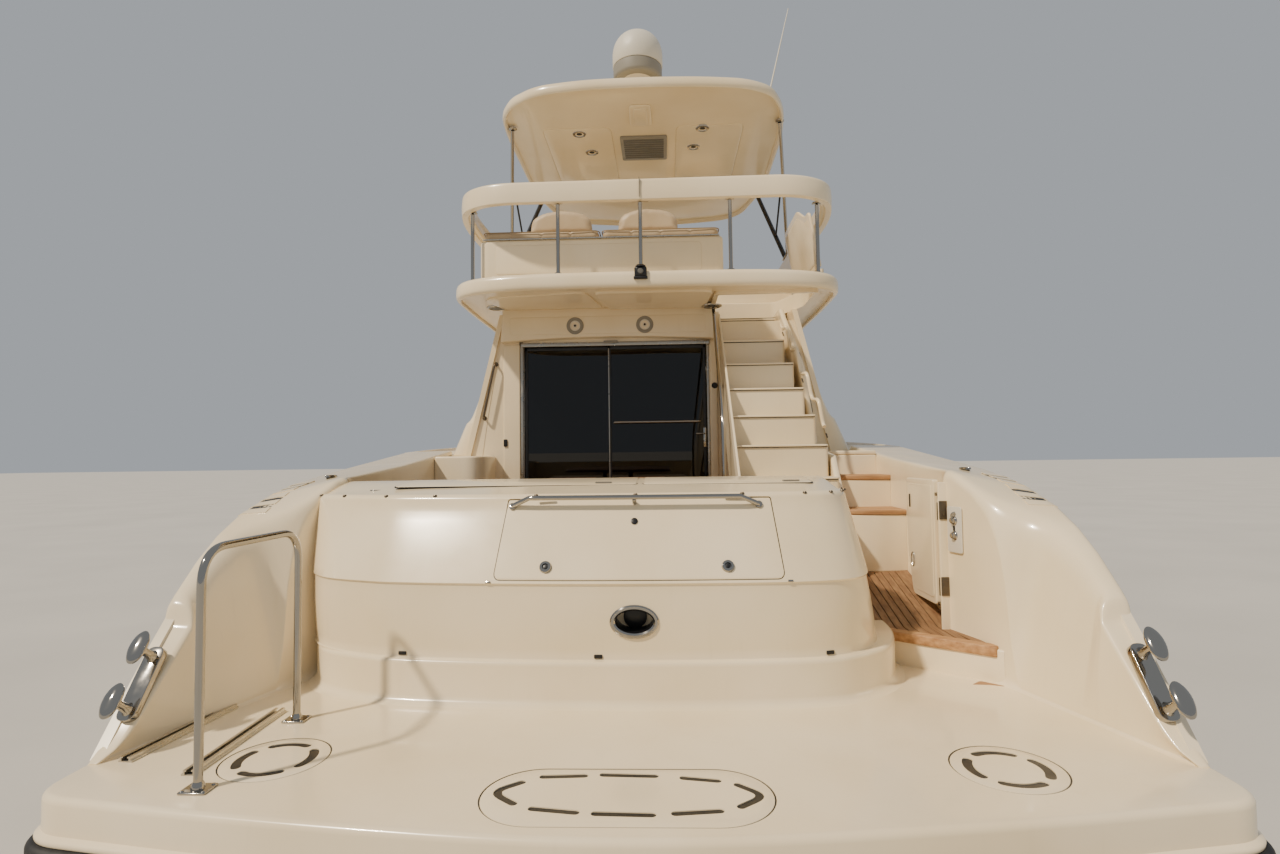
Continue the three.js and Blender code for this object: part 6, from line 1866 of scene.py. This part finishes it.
def makeCoaming():
    profile = [(0.0, 3.272), (0.0, 3.95), (0.004, 3.975), (0.018, 3.993), (0.04, 3.999), (0.062, 3.993),
        (0.076, 3.975), (0.08, 3.95), (0.08, 3.272)]
    rings = [mirrored(coamingPlan((z - 3.27) / 0.73, inset), z) for inset, z in profile]
    points, faces = skin(rings, False)
    size, count = len(rings[0]), len(rings)
    for k in (0, size - 1):
        faces.append(tuple(r * size + k for r in range(count)))
    for i in range(size - 1):
        faces.append((i, i + 1, (count - 1) * size + i + 1, (count - 1) * size + i))
    stand(newPiece("coamingMoulding", (points, faces)), "flybridge_coaming")
    # a styling line pressed round the coaming's outside, and a steel rail over its top
    newPiece("coamingLine", pipe(mirrored(coamingPlan(0.55, -0.002), 3.68), 0.01, 8))
    rings = []
    for lean, z in ((0.0, 4.001), (0.05, 4.328)):
        outer, inner = (evenly([p for p in coamingPlan(1.0, i + lean) if p[1] > aft(7.88)], 40) for i in
            (0.034, 0.044))
        rings.append(mirrored(outer, z) + mirrored(inner, z, -1))
    stand(newPiece("screenGlass", solid(rings), smokedAcrylic), "flybridge_screen")
    top = rings[1][:len(rings[1]) // 2]
    newPiece("screenRail", pipe([(p[0], p[1] + 0.002, p[2] - 0.004) for p in top], 0.012, 10), steel)


def makeFlyHelm():
    section = [(aft(7.9), 3.272, 0.01), (aft(7.86), 3.88, 0.05), (aft(8.15), 4.17, 0.07), (aft(8.43), 4.178, 0.04),
        (aft(8.44), 3.272, 0.01)]
    body = plate(bends(section, 6), 0.0, 1.28, 0.03, 5)
    stand(newPiece("consoleMoulding", inPlane(body, (-1.04, 0, 0), alongY)), "flybridge_console")
    up = Vector((0, 0.28, 0.3)).normalized()
    dashAt = (-0.4, aft(7.862), 3.885)
    face = plate(oblong(-0.52, 0.52, 0.04, 0.36, 0.03, 5), 0.0, 0.01, 0.004)
    newPiece("consoleDash", inPlane(face, dashAt, alongX, up), blackPlastic)
    gauges = []
    for u, v, r in ((-0.4, 0.2, 0.045), (-0.28, 0.2, 0.045), (0.3, 0.2, 0.045), (0.42, 0.2, 0.045)):
        gauges.append(inPlane(shifted(lathe([(0, 0.004), (r * 0.8, 0.004), (r * 0.86, 0.01), (r, 0.008), (r, 0),
            (0, 0)], 24), u, v, 0.009), dashAt, alongX, up))
    newPiece("consoleGauges", gauges, steel)
    screen = inPlane(shifted(boxPart(-0.17, 0.17, 0.07, 0.33, 0.009, 0.014, 0.004)), (-0.12, aft(7.862),
        3.885), alongX, up)
    newPiece("consolePlotter", screen, glass)
    levers = []
    for x in (0.06, 0.12):
        levers.append(bentPipe([(x, aft(7.98), 3.96), (x, aft(7.93), 4.14)], 0.008, 0.01, 10))
        levers.append(shifted(lathe([(0, 0.03), (0.014, 0.026), (0.018, 0.0), (0.014, -0.016), (0, -0.018)], 16),
            x, aft(7.93), 4.14))
    newPiece("throttleLevers", levers, steel)


def makeWheels():
    # each wheel's node and body share one name
    turn = Matrix.Rotation(radians(65), 3, "X")
    for node, at, radius in (("flybridge_wheel", (-0.5, aft(7.83), 4.04), 0.19), ("lower_wheel",
            (0.87, aft(8.215), 1.82), 0.17)):
        rim = [(radius * cos(t), radius * sin(t), 0) for t in turns(48) + [2 * pi]]
        ring = pipe(rim, 0.0145, 12)
        stand(newPiece(node + "Rim", shifted(ring, *at, turn=turn), blackPlastic, node), node)
        parts = [lathe([(0, 0.016), (0.026, 0.012), (0.036, 0.0), (0.036, -0.05), (0, -0.055)], 28)]
        for k in range(3):
            a = 2 * pi * k / 3 + pi / 2
            tip = (radius * cos(a), radius * sin(a), 0)
            parts.append(pipe([(0, 0, -0.012), (tip[0] * 0.5, tip[1] * 0.5, -0.012), tip], 0.009, 10))
        newPiece(node + "Spokes", shifted(joinParts(*parts), *at, turn=turn), steel, node)
        boss = lathe([(0, -0.062), (0.03, -0.062), (0.04, -0.075), (0.042, -0.2), (0, -0.2)], 24)
        newPiece(node + "Boss", shifted(boss, *at, turn=turn), blackPlastic)


def makeHelmSeat():
    pad = bends(inPlan([(-1.14, 6.77, 0.06), (-0.16, 6.77, 0.06), (-0.16, 7.24, 0.1), (-1.14, 7.24, 0.1)]), 6)
    base = oblong(-1.1, -0.2, aft(6.72), aft(7.14), 0.05, 5)
    newPiece("helmSeatBase", plate(base, 3.272, 3.63, 0.012, 4))
    seam = lambda x, y, z: abs(x + 0.65)
    seat = cushion("helmSeatPad", plate(pad, 3.632, 3.752, 0.035, 5), 0.018, 0.008, seam)
    stand(seat, "helm_seat")
    back = inPlane(plate(bends([(-1.13, 3.66, 0.05), (-0.17, 3.66, 0.05), (-0.19, 4.235, 0.14),
        (-1.11, 4.235, 0.14)], 7), 0.0, 0.105, 0.04, 5), (0, aft(6.772), 0))
    cushion("helmSeatBack", back, 0.018, 0.008, lambda x, y, z: min(abs(x + 0.65), abs(z - 3.98)))


def makeStairLid():
    hinge = (1.545, 3.315)
    turn = radians(80)
    # the leaf's own plane: a along Y, b away from the hinge, c up when it is shut
    away = Vector((-cos(turn), 0, sin(turn)))
    origin = (hinge[0], aftEdge, hinge[1])
    outline = bends([(3.705, 0.042, 0.02), (4.785, 0.042, 0.02), (4.785, 0.686, 0.1), (4.1, 0.686, 0.05),
        (3.875, 0.548, 0.05), (3.705, 0.542, 0.06)], 7)
    leaf = inPlane(plate(outline, -0.012, 0.012, 0.009, 4), origin, alongY, away)
    stand(newPiece("stairLidLeaf", leaf, gelcoat, "stairwell_lid"), "stairwell_lid")
    inner = bends([(3.76, 0.095, 0.03), (4.73, 0.095, 0.03), (4.73, 0.632, 0.08), (4.12, 0.632, 0.05),
        (3.9, 0.498, 0.05), (3.76, 0.492, 0.05)], 7)
    newPiece("stairLidField", inPlane(plate(inner, -0.0145, -0.011, 0.002, 2), origin, alongY, away),
        nonSkid, "stairwell_lid")
    parts = []
    for d in (3.85, 4.6):
        parts.append(inPlane(boxPart(d - 0.05, d + 0.05, 0.01, 0.085, 0.01, 0.0135, 0.001), origin, alongY, away))
    pin = inPlane(rod(0.0145, 3.706, 4.784, 16), origin, alongZ, alongX)
    parts.append(pin)
    newPiece("stairLidHinges", parts, steel, "stairwell_lid")
    lugs = [boxPart(hinge[0] - 0.016, hinge[0] + 0.016, aft(d), aft(d) + 0.0145, 3.266, 3.331, 0.004) for d in
        (3.6899, 4.7855)]
    newPiece("stairLidLugs", lugs)


hardtop = {"plan": [(0.0, 3.872, 0.3), (0.55, 3.895, 0.2), (0.98, 3.955, 0.15), (1.24, 4.11, 0.12),
    (1.385, 4.42, 0.2), (1.465, 4.95, 0.3), (1.48, 6.4, 0.4), (1.25, 7.5, 0.4), (0.0, 7.75, 0.9)],
    "portPlan": [(0.58, 3.893, 0.2), (1.03, 3.975, 0.15), (1.31, 4.18, 0.1), (1.44, 4.42, 0.12), (1.476, 4.8, 0.25),
    (1.48, 6.4, 0.4), (1.25, 7.5, 0.4)]}


def makeHardtop():
    outline = bends(mirroredPlan(hardtop["plan"], hardtop["portPlan"]), 10)
    u = hardtopUnder
    profile = [(0.36, u + 0.03), (0.2, u + 0.034), (0.06, u + 0.046), (0.044, u + 0.042), (0.036, u + 0.01),
        (0.026, u), (0.016, u), (0.005, u + 0.01), (0.0, u + 0.035), (0.003, u + 0.07), (0.02, u + 0.098),
        (0.07, u + 0.113), (0.16, u + 0.1185), (0.4, u + 0.12)]
    stand(newPiece("hardtopMoulding", solid(insetRings(outline, profile))), "hardtop")
    # underside: a raised square with its own border, two long fields, the vent and four lamps
    parts = []
    parts.append(plate(bends(inPlan([(-0.15, 4.25, 0.05), (0.06, 4.25, 0.05), (0.07, 4.67, 0.05),
        (-0.16, 4.67, 0.05)]), 6), u + 0.012, u + 0.034, 0.012, 4))
    parts.append(plate(bends(inPlan([(-0.11, 4.3, 0.03), (0.02, 4.3, 0.03), (0.03, 4.62, 0.03),
        (-0.12, 4.62, 0.03)]), 5), u + 0.005, u + 0.016, 0.006, 3))
    for x0, x1 in ((-1.08, -0.36), (0.32, 1.02)):
        parts.append(plate(oblong(x0, x1, aft(4.7), aft(6.4), 0.1, 6), u + 0.02, u + 0.034, 0.012, 4))
    newPiece("hardtopFields", parts)
    frameShape = plate(oblong(-0.28, 0.225, aft(4.9), aft(5.47), 0.03, 4), u + 0.008, u + 0.034, 0.006, 3)
    newPiece("hardtopVentFrame", frameShape, greyPlastic)
    slats = [boxPart(-0.245, 0.19, aft(4.95) + 0.053 * k, aft(4.95) + 0.053 * k + 0.038, u + 0.004, u + 0.012,
        0.003) for k in range(9)]
    newPiece("hardtopVentSlats", slats, greyDark)
    for i, (x, d) in enumerate(((-0.702, 4.813), (-0.614, 5.254), (0.594, 4.763), (0.518, 5.187))):
        rim = lathe([(0.046, -0.004), (0.05, -0.012), (0.068, -0.01), (0.075, 0.0), (0.075, 0.006),
            (0.046, 0.006)], 32)
        newPiece("hardtopLampRim" + str(i + 1), shifted(rim, x, aft(d), u + 0.024), steel)
        newPiece("hardtopLampLens" + str(i + 1), shifted(lathe([(0, -0.006), (0.03, -0.004), (0.047, 0.0),
            (0.047, 0.006), (0, 0.006)], 24), x, aft(d), u + 0.024), blackPlastic)
    # struts: a polished leg aft and a dark one forward, from one foot plate
    for side, name in bothSides:
        along = lambda z, a, b: (side * (1.6 - 0.2 * (z - 4.0)), aft(a + (b - a) * (z - 4.0) / 1.115), z)
        topX = side * (1.6 - 0.2 * 1.115)
        legAft = pipe([along(4.012, 5.6, 4.64), along(5.112, 5.6, 4.64)], 0.018, 16)
        rose = shifted(lathe([(0, 0), (0.046, 0), (0.044, -0.008), (0.024, -0.02), (0, -0.02)], 24), topX,
            aft(4.645), 5.133)
        plateShape = plate(oblong(side * 1.6 - 0.037, side * 1.6 + 0.037, aft(5.53), aft(5.77), 0.02, 5),
            4.0005, 4.013, 0.004)
        newPiece(name + "HardtopPole", [legAft, rose, plateShape], steel)
        legFore = pipe([along(4.012, 5.7, 6.5), along(5.13, 5.7, 6.5)], 0.026, 16)
        stay = pipe([along(4.35, 5.7, 6.5), along(4.75, 5.6, 4.64)], 0.011, 12)
        stand(newPiece(name + "HardtopStrut", [legFore, stay], blackAnodised), "hardtop_strut_" + name)


def makeMasthead():
    base = hardtopUnder + 0.12
    x, d = -0.07, 4.63
    pedestal = lathe([(0, 0.001), (0.205, 0.001), (0.2, 0.012), (0.165, 0.035), (0.15, 0.08), (0.148, 0.335),
        (0.155, 0.348), (0, 0.348)], 40)
    newPiece("domePedestal", shifted(pedestal, x, aft(d), base))
    band = lathe([(0, 0.349), (0.232, 0.349), (0.246, 0.362), (0.2505, 0.38), (0.2505, 0.475), (0.244, 0.482),
        (0, 0.482)], 56)
    newPiece("domeBand", shifted(band, x, aft(d), base), greyPlastic)
    profile = [(0, 0.483), (0.252, 0.483), (0.2565, 0.49), (0.258, 0.6)]
    profile += [(0.258 * cos(t) ** 0.8, 0.6 + 0.25 * sin(t)) for t in spread(0.08, pi / 2 - 0.02, 14)] + [(0, 0.8505)]
    stand(newPiece("radarDome", shifted(lathe(profile, 56), x, aft(d), base), whitePlastic), "radar_dome")
    foot = shifted(lathe([(0, 0), (0.045, 0), (0.044, 0.012), (0.026, 0.018), (0.022, 0.04), (0.024, 0.09),
        (0.016, 0.1), (0, 0.1)], 24), 1.24, aft(4.9), base + 0.0005)
    newPiece("whipFoot", foot, steel)
    rings = []
    for k, t in enumerate(spread(0, 1, 10)):
        p = Vector((1.26 + 0.28 * t, aft(4.9), base + 0.08 + 1.168 * t))
        r = 0.0105 - 0.0065 * k / 9
        rings.append([tuple(p + Vector((cos(t), sin(t), 0)) * r) for t in turns(10)])
    stand(newPiece("whipRod", solid(rings), whitePlastic), "whip_antenna")


makeFlyDeck()
makeRail()
makeSettee()
makeSaloonSofa()
makeSunpad()
makeCoaming()
makeFlyHelm()
makeWheels()
makeHelmSeat()
makeStairLid()
makeHardtop()
makeMasthead()
print("flybridge made")


# Gear forward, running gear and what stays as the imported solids: softened edges

def soften(name, width=0.005, segments=2):
    node = nodes[name]
    weld = node.modifiers.new("weld", "WELD")
    weld.merge_threshold = 0.0002
    bevel = node.modifiers.new("bevel", "BEVEL")
    bevel.width = width
    bevel.segments = segments
    bevel.limit_method = "ANGLE"
    bevel.angle_limit = radians(35)
    node.data.shade_smooth()
    shade = node.modifiers.new("shade", "WEIGHTED_NORMAL")
    shade.keep_sharp = False


for name in ("saloon_sole", "lower_helm", "bow_rail", "anchor", "foredeck_hatch", "engine_port",
        "engine_starboard", "propeller_port", "propeller_starboard", "rudder_port", "rudder_starboard"):
    soften(name, 0.012 if "helm" in name or "engine" in name else 0.004)
print("packed solids softened")


def corners(box):
    return [[round(v, 5) for v in corner] for corner in box]
